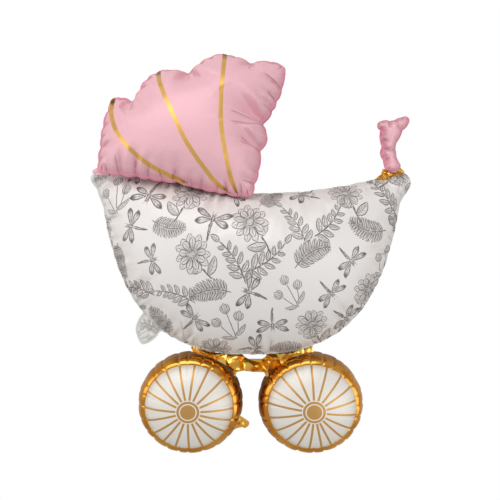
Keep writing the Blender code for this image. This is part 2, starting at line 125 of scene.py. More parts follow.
class Outline:
    """A closed outline, counter-clockwise in its own plane."""

    def __init__(self, points: np.ndarray) -> None:
        """Keep the outline's points."""
        self.points = np.array(points, dtype=float)

    @property
    def spans(self) -> np.ndarray:
        """Vectors from each point to the next."""
        return np.roll(self.points, -1, axis=0) - self.points

    @property
    def length(self) -> float:
        """Length all round."""
        return float(np.linalg.norm(self.spans, axis=1).sum())

    def evened(self, step: float) -> "Outline":
        """The same outline with points a step apart."""
        lengths = np.linalg.norm(self.spans, axis=1)
        ends = np.concatenate(((0.0,), np.cumsum(lengths)))
        count = max(8, round(ends[-1] / step))
        marks = np.linspace(0.0, ends[-1], count, endpoint=False)
        closed = np.vstack((self.points, self.points[:1]))
        return Outline(np.stack([np.interp(marks, ends, closed[:, k]) for k in (0, 1)], axis=1))

    def normals(self) -> np.ndarray:
        """Unit vectors that point outwards at each point."""
        ahead = np.roll(self.points, -1, axis=0) - np.roll(self.points, 1, axis=0)
        out = np.stack((ahead[:, 1], -ahead[:, 0]), axis=1)
        return out / np.maximum(np.linalg.norm(out, axis=1, keepdims=True), 1e-9)

    def grown(self, distance: float) -> "Outline":
        """The outline moved outwards."""
        return Outline(self.points + self.normals() * distance)

    def inside(self, spots: np.ndarray) -> np.ndarray:
        """Which of the spots lie inside."""
        found = np.zeros(len(spots), dtype=bool)
        for (x1, y1), (x2, y2) in zip(self.points, np.roll(self.points, -1, axis=0)):
            crossed = (y1 > spots[:, 1]) != (y2 > spots[:, 1])
            across = (x2 - x1) * (spots[:, 1] - y1) / (y2 - y1 + 1e-15) + x1
            found ^= crossed & (spots[:, 0] < across)
        return found

    def nearest(self, spots: np.ndarray) -> tuple[np.ndarray, np.ndarray]:
        """Measure from spots to the outline.

        Args:
            spots: points in the outline's plane.

        Returns:
            The distance of each spot, and the length along the outline of its nearest point.
        """
        best = np.full(len(spots), np.inf)
        along = np.zeros(len(spots))
        passed = 0.0
        for start, span in zip(self.points, self.spans):
            size = float(np.linalg.norm(span))
            if size < 1e-12:
                continue
            share = np.clip((spots - start) @ span / size ** 2, 0.0, 1.0)
            gap = np.linalg.norm(spots - start - share[:, None] * span, axis=1)
            closer = gap < best
            best[closer] = gap[closer]
            along[closer] = passed + share[closer] * size
            passed += size
        return best, along


def track(spots: np.ndarray, line: np.ndarray) -> tuple[np.ndarray, np.ndarray]:
    """Measure spots against an open line.

    Args:
        spots: points in a plane.
        line: the line's points.

    Returns:
        The distance of each spot to the line's left, and the length along the line of its
        nearest point, below 0 before the line and above its length beyond it.
    """
    start, heading = line[:-1], np.diff(line, axis=0)
    size = np.linalg.norm(heading, axis=1)
    heading = heading / size[:, None]
    off = spots[:, None] - start[None]
    low, high = np.zeros(len(size)), size.copy()
    low[0], high[-1] = -np.inf, np.inf
    held = np.clip((off * heading).sum(axis=2), low, high)
    gap = np.linalg.norm(off - held[..., None] * heading, axis=2)
    near = gap.argmin(axis=1)
    rows = np.arange(len(spots))
    turned = heading[:, 0] * off[..., 1] - heading[:, 1] * off[..., 0]
    across = np.copysign(gap[rows, near], turned[rows, near])
    return across, np.concatenate(((0.0,), np.cumsum(size)))[near] + held[rows, near]


def line_length(line: np.ndarray) -> float:
    """Length of an open line."""
    return float(np.linalg.norm(np.diff(line, axis=0), axis=1).sum())


def turn_matrix(angle: float) -> np.ndarray:
    """Matrix that turns row vectors by an angle in radians."""
    return np.array(((math.cos(angle), math.sin(angle)), (-math.sin(angle), math.cos(angle))))


def left_of(line: np.ndarray) -> np.ndarray:
    """Unit vectors to the left of a line at each of its points."""
    ahead = np.gradient(line, axis=0)
    left = np.column_stack((-ahead[:, 1], ahead[:, 0]))
    return left / np.linalg.norm(left, axis=1, keepdims=True)


def seen_from_above(places: np.ndarray) -> np.ndarray:
    """Where the straight-down eye sees places, in metres at the height of the tub's seam.

    Args:
        places: points of the model.

    Returns:
        Points from the eye's axis, with X and Y as in the picture.
    """
    scale = (CAMERA_HEIGHT - MIDDLE) / (CAMERA_HEIGHT - places[:, 2:3])
    return (places[:, :2] - (0.0, CAMERA_Y)) * scale


# ---------------------------------------------------------------- blown-up film

@dataclass(frozen=True)
class Pucker:
    """One fold where a seam gathers the film."""

    along: float          # its place, in metres along the seam
    bite: float           # how far it pulls the seam in
    reach: float          # how far it runs into the film
    spread: float         # half its width at the seam
    depth: float = 0.5    # share of the film's height that it takes away


@dataclass(frozen=True)
class Blow:
    """How the cloth simulation blows a chamber up."""

    slack: float = 1.10       # flat pattern's size over the finished one
    share: float = 0.5        # how much of the blown shape is kept over the smooth one
    start: float = 0.15       # how thick the chamber is before it is blown up, over its end
    frames: int = 30
    pressure: float = 40.0
    stiffness: float = 200.0
    bending: float = 0.01
    damping: float = 10.0
    air_damping: float = 3.0
    quality: int = 8
    mass: float = 0.15


@dataclass
class Chamber:
    """Two sheets of film, welded round their edge and blown up."""

    name: str
    seam: Outline
    thickness: float
    step: float = 0.006       # size of the mesh's triangles
    rim: float | Callable = 0.004     # width of the flat weld, or its width at given points
    flutter: float = 0.3      # how far the weld waves up and down, over its width
    wave: float = 0.024       # length of those waves
    weld: float = 0.0012      # thickness of the flat weld
    blow: Blow = field(default_factory=Blow)
    puckers: tuple[Pucker, ...] = ()
    seed: int = 1

    SOLVER_STEPS = 600        # most steps of the membrane's solver
    SWELL = (2.2, 0.6)        # powers that round the membrane to a balloon's section
    DRIFT_POWER = 3           # how fast the seam's shift fades into the film
    FADE_POWER = 2.0          # how a fold fades into the film
    CREASE_POWER = 1.15       # its section
    RIDGE = 0.20              # height of the low ridges beside a fold, over its depth
    RIDGE_AT = 2.1            # their distance from it, over its half width
    RIDGE_HALF = 0.9          # half their width, over the fold's
    DEPTHS = (-0.4, 0.9)      # least and most share of the height that folds take away
    CREASE_REACH = 0.0075     # how far from a crease its faces may lie

    def rim_width(self, points: np.ndarray) -> np.ndarray:
        """Width of the weld at each point of the seam."""
        return self.rim(points) if callable(self.rim) else np.full(len(points), self.rim)

    def build(self) -> bpy.types.Object:
        """Make the chamber's mesh object, in its own plane, with its film attributes."""
        rng = np.random.default_rng(self.seed)
        seam = self.seam.evened(self.step)
        flat, faces, edge = self.pattern(seam, rng)
        share = self.membrane(flat, faces, edge)
        front = np.column_stack((flat, 0.5 * self.thickness * share))
        back = np.column_stack((flat, -0.5 * self.thickness * share))
        front, back = self.simulated(flat, faces, edge, share, seam)
        front, back = (self.gathered(sheet, seam) for sheet in (front, back))
        return self.joined(front, back, flat, faces, edge, seam)

    def pattern(self, seam: Outline, rng: np.random.Generator) -> tuple[np.ndarray, np.ndarray, int]:
        """Fill the seam with triangles.

        Args:
            seam: the evened seam.
            rng: source of the small shifts that keep rows from showing.

        Returns:
            Points with the seam's first, triangles, and how many points the seam has.
        """
        low, high = seam.points.min(axis=0), seam.points.max(axis=0)
        tall = self.step * math.sqrt(3) / 2
        rows = np.arange(int((high[1] - low[1]) / tall) + 2)
        columns = np.arange(int((high[0] - low[0]) / self.step) + 2)
        grid = np.array([(low[0] + (c + 0.5 * (r % 2)) * self.step, low[1] + r * tall)
                         for r in rows for c in columns])
        grid += rng.uniform(-0.16, 0.16, grid.shape) * self.step
        grid = grid[seam.inside(grid)]
        grid = grid[seam.nearest(grid)[0] > 0.55 * self.step]
        points = np.vstack((seam.points, grid))
        count = len(seam.points)
        ring = [(k, (k + 1) % count) for k in range(count)]
        made = delaunay_2d_cdt([Vector(p) for p in points], ring, [], 1, 1e-7)
        flat = np.array([tuple(v) for v in made[0]])
        if len(flat) != len(points):
            raise ValueError(f"{self.name}: the seam crosses itself")
        return flat, np.array(made[2]), count

    def membrane(self, flat: np.ndarray, faces: np.ndarray, edge: int) -> np.ndarray:
        """Height of an evenly loaded membrane, rounded to a balloon's swelling.

        Args:
            flat: the pattern's points.
            faces: its triangles.
            edge: how many of the points are the seam's.

        Returns:
            Height at each point, 1 at the highest and 0 along the seam.
        """
        pairs = np.vstack((faces[:, (0, 1)], faces[:, (1, 2)], faces[:, (2, 0)]))
        pairs = np.unique(np.sort(pairs, axis=1), axis=0)
        count = len(flat)
        degree = np.bincount(pairs.ravel(), minlength=count).astype(float)
        free = np.arange(count) >= edge

        def pulled(height: np.ndarray) -> np.ndarray:
            """Sum of the differences to the neighbours."""
            ahead = np.bincount(pairs[:, 0], height[pairs[:, 1]], count)
            behind = np.bincount(pairs[:, 1], height[pairs[:, 0]], count)
            return np.where(free, degree * height - ahead - behind, 0.0)

        height = np.zeros(count)
        rest = np.where(free, 1.0, 0.0)
        heading = rest.copy()
        power = float(rest @ rest)
        for _ in range(self.SOLVER_STEPS):
            turned = pulled(heading)
            size = power / float(heading @ turned)
            height += size * heading
            rest -= size * turned
            after = float(rest @ rest)
            if after < 1e-12 * count:
                break
            heading = rest + after / power * heading
            power = after
        inward = np.sqrt(np.clip(1.0 - height / height.max(), 0.0, 1.0))
        inner, outer = self.SWELL
        return np.clip(1.0 - inward ** inner, 0.0, 1.0) ** outer

    def simulated(self, flat: np.ndarray, faces: np.ndarray, edge: int, share: np.ndarray,
                  seam: Outline) -> tuple[np.ndarray, np.ndarray]:
        """Blow the flat pattern up as cloth, then bring its seam back to the outline.

        Args:
            flat: the pattern's points.
            faces: its triangles.
            edge: how many of the points are the seam's.
            share: the membrane's heights, as the start.
            seam: the outline that the seam goes back to.

        Returns:
            The front's and the back's points.
        """
        count = len(flat)
        centre = flat.mean(axis=0)
        pattern = (flat - centre) * self.blow.slack
        start = np.column_stack((pattern, self.blow.start * self.thickness * share))
        mirror = start[edge:] * (1, 1, -1)
        other = np.concatenate((np.arange(edge), np.arange(count, 2 * count - edge)))
        mesh = bpy.data.meshes.new(self.name + "_pattern")
        mesh.from_pydata(np.vstack((start, mirror)).tolist(), [],
                         faces.tolist() + other[faces][:, ::-1].tolist())
        blown = self.run_cloth(mesh)
        front, back = blown[:count], blown[other]
        middle = front[:edge].mean(axis=0)
        front, back = front - middle, back - middle
        drift = seam.points - centre - front[:edge, :2]
        far = np.linalg.norm(pattern[edge:, None] - pattern[None, :edge], axis=2)
        weights = 1.0 / (far + 1e-4) ** self.DRIFT_POWER
        weights /= weights.sum(axis=1, keepdims=True)
        moves = np.vstack((drift, weights @ drift))
        lift = np.concatenate((front[:edge, 2], weights @ front[:edge, 2]))
        for sheet in (front, back):
            sheet[:, :2] += moves + centre
            sheet[:, 2] -= lift
        front[:, 2] *= 0.5 * self.thickness / front[:, 2].max()
        back[:, 2] *= 0.5 * self.thickness / -back[:, 2].min()
        LOG.info("%s: blown up, seam moved by up to %.0f mm", self.name, MM_PER_M * np.abs(drift).max())
        smooth = np.column_stack((flat, 0.5 * self.thickness * share))
        keep = self.blow.share
        return (keep * front + (1 - keep) * smooth,
                keep * back + (1 - keep) * smooth * (1, 1, -1))

    def run_cloth(self, mesh: bpy.types.Mesh) -> np.ndarray:
        """Run the cloth simulation on a mesh.

        Args:
            mesh: the two flat sheets, welded.

        Returns:
            The blown-up mesh's points.
        """
        film = bpy.data.objects.new(mesh.name, mesh)
        scene = bpy.context.scene
        scene.collection.objects.link(film)
        cloth = film.modifiers.new("blow", "CLOTH")
        settings = cloth.settings
        blow = self.blow
        settings.quality = blow.quality
        settings.mass = blow.mass
        settings.air_damping = blow.air_damping
        settings.tension_stiffness = settings.compression_stiffness = blow.stiffness
        settings.shear_stiffness = blow.stiffness
        settings.tension_damping = settings.compression_damping = settings.shear_damping = blow.damping
        settings.bending_stiffness = blow.bending
        settings.use_pressure = True
        settings.uniform_pressure_force = blow.pressure
        settings.effector_weights.gravity = 0.0
        cloth.collision_settings.use_collision = False
        cloth.point_cache.frame_start = 1
        cloth.point_cache.frame_end = blow.frames
        scene.frame_start, scene.frame_end = 1, blow.frames
        for step in range(1, blow.frames + 1):
            scene.frame_set(step)
        held = film.evaluated_get(bpy.context.evaluated_depsgraph_get())
        places = np.empty(3 * len(held.data.vertices))
        held.data.vertices.foreach_get("co", places)
        bpy.data.objects.remove(film)
        bpy.data.meshes.remove(mesh)
        scene.frame_set(1)
        return places.reshape(-1, 3).copy()

    def gathered(self, sheet: np.ndarray, seam: Outline) -> np.ndarray:
        """Fold the sheet in at its puckers.

        Args:
            sheet: the sheet's points.
            seam: the evened seam.

        Returns:
            The folded sheet's points.
        """
        if not self.puckers:
            return sheet
        total = seam.length
        gap, along = seam.nearest(sheet[:, :2])
        inward = -seam.normals()
        index = np.minimum((along / total * len(seam.points)).astype(int), len(seam.points) - 1)
        folded = sheet.copy()
        for fold in self.puckers:
            off = np.abs(along - fold.along)
            off = np.minimum(off, total - off)
            near = (gap < 3 * fold.reach) & (off < 5 * fold.spread + gap)
            share = gap[near] / fold.reach
            fade = np.exp(-share ** self.FADE_POWER)
            across = off[near] / (fold.spread * (0.45 + 0.9 * share))
            ridge = self.RIDGE * np.exp(-((across - self.RIDGE_AT) / self.RIDGE_HALF) ** 2)
            crease = np.exp(-across ** self.CREASE_POWER) - ridge
            pull = fold.bite * fade * np.exp(-(off[near] / fold.spread) ** 1.1)
            folded[near, :2] += inward[index[near]] * pull[:, None]
            folded[near, 2] *= 1 - np.clip(fold.depth * fade * crease, *self.DEPTHS)
        return folded

    def joined(self, front: np.ndarray, back: np.ndarray, flat: np.ndarray, faces: np.ndarray,
               edge: int, seam: Outline) -> bpy.types.Object:
        """Weld the two sheets round a flat rim and smooth them.

        Args:
            front: the front sheet's points.
            back: the back sheet's points.
            flat: the pattern's points.
            faces: the pattern's triangles.
            edge: how many of the points are the seam's.
            seam: the evened seam.

        Returns:
            The finished object, with attributes film, weld and side.
        """
        count = len(front)
        middle = 0.5 * (front[:edge] + back[:edge])
        widths = self.rim_width(middle[:, :2])
        out = Outline(middle[:, :2]).normals() * widths[:, None]
        along = 2 * math.pi * np.arange(edge) / edge * max(1, round(seam.length / self.wave))
        waves = 0.6 * np.sin(along + 2 * np.sin(0.37 * along)) + 0.4 * np.sin(2.3 * along + 1.0)
        rim = np.column_stack((middle[:, :2] + out, middle[:, 2] + self.flutter * widths * waves))
        half = np.array((0.0, 0.0, 0.5 * self.weld))
        front, back = front.copy(), back.copy()
        front[:, 2] = np.maximum(front[:, 2], back[:, 2] + 1e-4) + half[2]
        back[:, 2] -= half[2]
        places = np.vstack((front, back, rim + half, rim - half))
        turned = (faces[:, ::-1] + count).tolist()
        loops = (0, 2 * count, 2 * count + edge, count)      # first points of the front, the rim and the back
        ring = [(near + k, far + k, far + (k + 1) % edge, near + (k + 1) % edge)
                for k in range(edge) for near, far in zip(loops, loops[1:])]
        mesh = bpy.data.meshes.new(self.name)
        mesh.from_pydata(places.tolist(), [], faces.tolist() + turned + ring)
        gap = seam.nearest(flat)[0]
        gap[:edge] = 0.0
        edge_flat = flat[:edge] + seam.normals() * widths[:, None]
        film = np.vstack((flat, flat, edge_flat, edge_flat)) * self.blow.slack
        weld = np.concatenate((gap, gap, -widths, -widths))
        side = np.concatenate((np.ones(count), np.zeros(count), np.ones(edge), np.zeros(edge)))
        put_values(mesh, "film", np.column_stack((film, np.zeros(len(film)))))
        put_values(mesh, "weld", weld)
        put_values(mesh, "side", side)
        sharp = {frozenset((first + k, first + (k + 1) % edge)) for first in loops for k in range(edge)}
        piece = smoothed(self.name, mesh, sharp)
        self.score(piece.data, seam)
        return piece

    def score(self, mesh: bpy.types.Mesh, seam: Outline) -> None:
        """Store the sharp creases that run into the film from its folds."""
        rng = np.random.default_rng(self.seed + 90)
        inward = -seam.normals()
        lines = []
        for fold in self.puckers:
            at = int(fold.along / seam.length * len(seam.points)) % len(seam.points)
            for _ in range(2 if fold.depth > 0.5 else 1):
                heading = inward[at] @ turn_matrix(rng.uniform(-0.35, 0.35))
                bend = rng.uniform(-0.14, 0.14) * fold.reach
                side = np.array((-heading[1], heading[0]))
                start = seam.points[at] + side * rng.uniform(-0.5, 0.5) * fold.spread
                size = fold.reach * rng.uniform(0.9, 1.4)
                lines.append((np.array([start + heading * (t * (size + 0.006) - 0.006) + side * bend * t * t
                                        for t in np.linspace(0, 1, 6)]), 0.0018 + 0.0022 * fold.depth))
        flat = get_values(mesh, "film")[:, :2].astype(float) / self.blow.slack
        transfer_lines(mesh, flat, corners_of(mesh), lines, self.CREASE_REACH, ("fold_a", "fold_b"))


def put_values(mesh: bpy.types.Mesh, name: str, values: np.ndarray, domain: str = "POINT") -> None:
    """Store numbers or vectors on a mesh as a named attribute."""
    kind, slot = ("FLOAT_VECTOR", "vector") if values.ndim == 2 else ("FLOAT", "value")
    layer = mesh.attributes.get(name) or mesh.attributes.new(name, kind, domain)
    layer.data.foreach_set(slot, np.ascontiguousarray(values, dtype=np.float32).ravel())


def get_values(mesh: bpy.types.Mesh, name: str) -> np.ndarray:
    """Read a named attribute back."""
    layer = mesh.attributes[name]
    wide = layer.data_type == "FLOAT_VECTOR"
    values = np.empty(len(layer.data) * (3 if wide else 1), dtype=np.float32)
    layer.data.foreach_get("vector" if wide else "value", values)
    return values.reshape(-1, 3) if wide else values


def places_of(mesh: bpy.types.Mesh) -> np.ndarray:
    """The places of a mesh's points."""
    values = np.empty(3 * len(mesh.vertices), dtype=np.float32)
    mesh.vertices.foreach_get("co", values)
    return values.reshape(-1, 3).astype(float)


def set_places(mesh: bpy.types.Mesh, places: np.ndarray) -> None:
    """Move a mesh's points."""
    mesh.vertices.foreach_set("co", np.ascontiguousarray(places, dtype=np.float32).ravel())
    mesh.update()


def smoothed(name: str, mesh: bpy.types.Mesh, sharp: set) -> bpy.types.Object:
    """Subdivide a mesh smoothly, once.

    Args:
        name: the object's name.
        mesh: the mesh to smooth.
        sharp: pairs of points whose edges stay creased.

    Returns:
        The object, with the subdivision in its mesh.
    """
    crease = mesh.attributes.new("crease_edge", "FLOAT", "EDGE")
    for edge in mesh.edges:
        if frozenset(edge.vertices) in sharp:
            crease.data[edge.index].value = 1.0
    rough = bpy.data.objects.new(name + "_rough", mesh)
    bpy.context.scene.collection.objects.link(rough)
    smooth = rough.modifiers.new("smooth", "SUBSURF")
    smooth.levels = smooth.render_levels = 1
    smooth.boundary_smooth = "PRESERVE_CORNERS"
    fine = bpy.data.meshes.new_from_object(rough.evaluated_get(bpy.context.evaluated_depsgraph_get()))
    bpy.data.objects.remove(rough)
    bpy.data.meshes.remove(mesh)
    fine.name = name
    fine.materials.clear()
    fine.shade_smooth()
    piece = bpy.data.objects.new(name, fine)
    bpy.context.scene.collection.objects.link(piece)
    return piece


def mesh_object(name: str, places: np.ndarray, faces: list) -> bpy.types.Object:
    """An object from points and faces."""
    mesh = bpy.data.meshes.new(name)
    mesh.from_pydata(np.asarray(places).tolist(), [], faces)
    mesh.update()
    piece = bpy.data.objects.new(name, mesh)
    bpy.context.scene.collection.objects.link(piece)
    return piece


def even_puckers(seam: Outline, pitch: float, bite: float, reach: float, rng: np.random.Generator,
                 notches: tuple = ()) -> tuple[Pucker, ...]:
    """Small folds all along a seam, a little uneven, and large ones at its notches.

    Args:
        seam: the seam.
        pitch: the usual distance between folds.
        bite: the usual pull on the seam.
        reach: the usual length of a fold.
        rng: source of the unevenness.
        notches: place on the seam's plane, pull, length, half width and depth of each large fold.

    Returns:
        The folds.
    """
    total = seam.length
    folds = [Pucker(float(seam.nearest(np.array((spot,)))[1][0]), *sizes) for spot, *sizes in notches]
    count = round(total / pitch)
    for k in range(count):
        along = (k + rng.uniform(-0.26, 0.26)) * total / count % total
        size = rng.uniform(0.45, 1.25)
        small = Pucker(along, bite * size, reach * size * rng.uniform(0.8, 1.3),
                       0.22 * pitch * rng.uniform(0.7, 1.1))
        if all(abs(along - large.along) > 0.7 * pitch for large in folds[:len(notches)]):
            folds.append(small)
    return tuple(folds)


def wear(piece: bpy.types.Object, slot: str, *nodes: str) -> None:
    """Tie a finished piece to the body and hide the CAD nodes it stands for."""
    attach(piece, BODY)
    if nodes:
        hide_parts(*nodes)


# ---------------------------------------------------------------- the tub's print

class Shade(Enum):
    """Where a drawn blade is shaded."""

    BASE = "base"
    SIDE = "side"
    EDGE = "edge"
    TIP = "tip"


class Motif(Enum):
    """A kind of drawing in the print."""

    DAISY = "daisy"
    SPRIG = "sprig"
    FERN = "fern"
    DRAGONFLY = "dragonfly"
    BUDS = "buds"


@dataclass(frozen=True, eq=False)
class Blade:
    """One drawn leaf, petal, wing or disc: a curved middle line and the half width along it."""

    spine: np.ndarray
    half: np.ndarray
    shade: Shade
    dark: float

    def across(self, spots: np.ndarray) -> tuple[np.ndarray, np.ndarray]:
        """Share of the half width and share of the length of each spot."""
        side, along = track(spots, self.spine)
        marks = np.concatenate(((0.0,), np.cumsum(np.linalg.norm(np.diff(self.spine, axis=0), axis=1))))
        half = np.interp(along, marks, self.half)
        share = along / marks[-1]
        return np.where((share > 0) & (share < 1), side / np.maximum(half, 1e-6), 9.0), share

    def tone(self, side: np.ndarray, share: np.ndarray) -> np.ndarray:
        """Darkness of the shading at places on the blade."""
        if self.shade is Shade.BASE:
            fall = (1 - share) ** 1.6 * (0.55 + 0.45 * np.abs(side)) + 0.12
        elif self.shade is Shade.SIDE:
            fall = 0.12 + 0.75 * np.clip(side + 0.2, 0.0, 1.0) * (1 - 0.4 * share)
        elif self.shade is Shade.EDGE:
            fall = 0.25 + 0.75 * np.abs(side) ** 2
        else:
            fall = 0.12 + 0.88 * np.clip((share - 0.62) / 0.3, 0.0, 1.0) + 0.25 * (1 - share) ** 3
        return self.dark * fall


class Sketch:
    """A motif drawn in ink lines and shaded blades, in millimetres."""

    def __init__(self) -> None:
        """Start an empty drawing."""
        self.lines: list[tuple[np.ndarray, float]] = []
        self.blades: list[Blade] = []

    def line(self, points: list | np.ndarray, half: float = 0.55) -> None:
        """Draw a line with half its width."""
        self.lines.append((np.array(points, dtype=float), half))

    def curve(self, root: tuple, heading: float, length: float, bend: float, count: int = 9) -> np.ndarray:
        """Points of an arc from its root, its heading and how much it turns, in degrees."""
        turns = np.radians(heading + bend * (np.linspace(0, 1, count - 1) - 0.5))
        steps = np.column_stack((np.cos(turns), np.sin(turns))) * length / (count - 1)
        return np.vstack((root, root + np.cumsum(steps, axis=0)))

    def add(self, blade: Blade, half: float) -> None:
        """Lay a blade over what is drawn so far, and ink its two edges."""
        kept = []
        for points, width in self.lines:
            hidden = np.abs(blade.across(points)[0]) < 0.97
            for run in np.split(np.arange(len(points)), np.flatnonzero(np.diff(hidden.astype(int))) + 1):
                if not hidden[run[0]] and len(run) > 1:
                    kept.append((points[run], width))
        self.lines = kept
        self.blades.append(blade)
        left = left_of(blade.spine) * blade.half[:, None]
        self.line(blade.spine + left, half)
        self.line(blade.spine - left, half)

    def blade(self, root: tuple, heading: float, length: float, width: float, bend: float = 0.0,
              belly: float = 0.5, shade: Shade = Shade.SIDE, dark: float = 0.4, veins: int = 0,
              edge: float = 0.55) -> None:
        """Draw a leaf, petal or wing.

        Args:
            root: where it starts.
            heading: its direction in degrees.
            length: from root to tip.
            width: at its widest.
            bend: how much it turns, in degrees.
            belly: share of the length where it is widest.
            shade: where it is shaded.
            dark: how dark the shading is.
            veins: side veins on each side, with a midrib where there are any.
            edge: half the width of its outline.
        """
        spine = self.curve(root, heading, length, bend, 13)
        share = np.linspace(0, 1, 13)
        half = 0.5 * width * np.sin(math.pi * share ** (math.log(0.5) / math.log(belly))) ** 0.8
        half[[0, -1]] = 0.02 * width
        self.add(Blade(spine, half, shade, dark), edge)
        if veins:
            self.line(spine[:12], 0.35)
        ahead, left = np.gradient(spine, axis=0), left_of(spine)
        for k in range(veins):
            near = 1 + round(9 * k / veins)
            far = min(near + 2, 11)
            for side in (-1, 1):
                tip = spine[far] + side * left[far] * half[far] * 0.85
                self.line([spine[near], 0.5 * (spine[near] + tip) - 0.2 * ahead[near], tip], 0.26)

    def disc(self, centre: tuple, radius: float, dark: float, edge: float = 0.5) -> None:
        """Draw a round spot."""
        across = np.linspace(-1, 1, 13)
        spine = np.array(centre) + np.column_stack((across * radius, np.zeros(13)))
        self.add(Blade(spine, np.maximum(radius * np.sqrt(1 - across ** 2), 0.02), Shade.EDGE, dark), edge)


def draw_daisy(rng: np.random.Generator) -> Sketch:
    """A daisy on a leafy stem."""
    art = Sketch()
    stem = art.curve((12.0, -62.0), 100.0, 62.0, -26.0)
    art.line(stem, 0.9)
    art.line(stem + (1.8, 0.0), 0.5)
    art.blade(tuple(stem[2]), 38.0, 36.0, 15.0, 30.0, 0.45, Shade.SIDE, 0.55, 4)
    art.blade(tuple(stem[4]), 152.0, 31.0, 12.0, -28.0, 0.45, Shade.SIDE, 0.55, 4)
    for ring, (count, reach) in enumerate(((11, 31.0), (9, 25.0))):
        for k in range(count):
            turn = 360.0 * (k + 0.5 * ring) / count + rng.uniform(-4, 4)
            root = (4.0 * math.cos(math.radians(turn)), 4.0 * math.sin(math.radians(turn)))
            art.blade(root, turn, reach * rng.uniform(0.9, 1.05), 13.0 - ring, rng.uniform(-14, 14), 0.66,
                      Shade.BASE, 0.55, 1)
    art.disc((0, 0), 7.5, 0.75, 0.7)
    for k in range(14):
        turn, reach = 2.4 * k, 1.7 * math.sqrt(k)
        art.disc((reach * math.cos(turn), reach * math.sin(turn)), 0.9, 0.9, 0.3)
    return art


def draw_sprig(rng: np.random.Generator) -> Sketch:
    """A twig with pairs of leaves."""
    art = Sketch()
    stem = art.curve((-10.0, -46.0), 84.0, 84.0, 34.0, 13)
    art.line(stem, 0.75)
    for k in range(1, 11, 2):
        size = 27.0 - 1.3 * k
        heading = 84.0 - 17.0 + 34.0 * k / 12
        for side in (-1, 1):
            art.blade(tuple(stem[k + (side > 0)]), heading + side * rng.uniform(46, 60),
                      size * rng.uniform(0.9, 1.1), size * 0.40, -side * 24.0, 0.45, Shade.SIDE, 0.50, 3)
    art.blade(tuple(stem[-1]), 104.0, 20.0, 8.5, 10.0, 0.45, Shade.SIDE, 0.5, 3)
    return art


def draw_fern(rng: np.random.Generator) -> Sketch:
    """A fern frond."""
    art = Sketch()
    stem = art.curve((8.0, -44.0), 96.0, 88.0, -50.0, 17)
    art.line(stem, 0.7)
    for k in range(2, 16):
        size = 22.0 * math.sin(math.pi * (0.22 + 0.74 * k / 16)) + 3.0
        heading = 96.0 + 25.0 - 50.0 * k / 16
        for side in (-1, 1):
            art.blade(tuple(stem[k]), heading + side * rng.uniform(58, 66), size, 4.6, -side * 26.0, 0.4,
                      Shade.BASE, 0.7, 0, 0.45)
    return art


def draw_dragonfly(rng: np.random.Generator) -> Sketch:
    """A dragonfly with spread wings."""
    art = Sketch()
    for side in (-1, 1):
        for heading, length, width in ((20.0, 41.0, 11.5), (-14.0, 37.0, 12.5)):
            turn = heading if side > 0 else 180.0 - heading
            art.blade((1.5 * side, 5.0 + heading * 0.08), turn, length, width, side * 9.0, 0.66,
                      Shade.TIP, 0.95, 4, 0.85)
    art.blade((0, 4), -90.0, 44.0, 4.4, rng.uniform(-14, 14), 0.3, Shade.EDGE, 1.0, 0, 0.8)
    art.blade((0, -2), 90.0, 15.0, 8.0, 0.0, 0.5, Shade.EDGE, 0.95, 0, 0.8)
    for side in (-1, 1):
        art.disc((2.4 * side, 14.0), 2.5, 0.9, 0.7)
        art.line([(1.5 * side, 16.0), (4.0 * side, 20.5), (4.6 * side, 24.0)], 0.35)
    return art


def draw_buds(rng: np.random.Generator) -> Sketch:
    """Three closed flowers on thin stems."""
    art = Sketch()
    for lean, tall in ((-24.0, 44.0), (4.0, 58.0), (27.0, 40.0)):
        stem = art.curve((0.0, -40.0), 90.0 - lean, tall, lean * 0.8)
        art.line(stem, 0.6)
        top, heading = tuple(stem[-1]), 90.0 - 1.3 * lean
        for side in (-1, 1):
            art.blade(top, heading + 17 * side, 20.0, 9.5, -34.0 * side, 0.5, Shade.BASE, 0.6, 1)
        art.blade(top, heading, 22.0, 10.5, rng.uniform(-8, 8), 0.52, Shade.BASE, 0.45, 2)
        for side in (-1, 1):
            art.blade(top, heading + 40 * side, 9.0, 3.6, -30.0 * side, 0.5, Shade.BASE, 0.8, 0, 0.5)
    art.blade((0.0, -32.0), 28.0, 34.0, 9.0, 34.0, 0.45, Shade.SIDE, 0.55, 3)
    art.blade((0.0, -36.0), 158.0, 30.0, 8.5, -34.0, 0.45, Shade.SIDE, 0.55, 3)
    return art


DRAWINGS = {Motif.DAISY: draw_daisy, Motif.SPRIG: draw_sprig, Motif.FERN: draw_fern,
            Motif.DRAGONFLY: draw_dragonfly, Motif.BUDS: draw_buds}
SCALES = {Motif.DAISY: 1.20, Motif.SPRIG: 1.30, Motif.FERN: 1.15, Motif.DRAGONFLY: 1.02, Motif.BUDS: 1.15}
UPRIGHT = (Motif.DAISY, Motif.BUDS)      # motifs that lean by 50 degrees at most


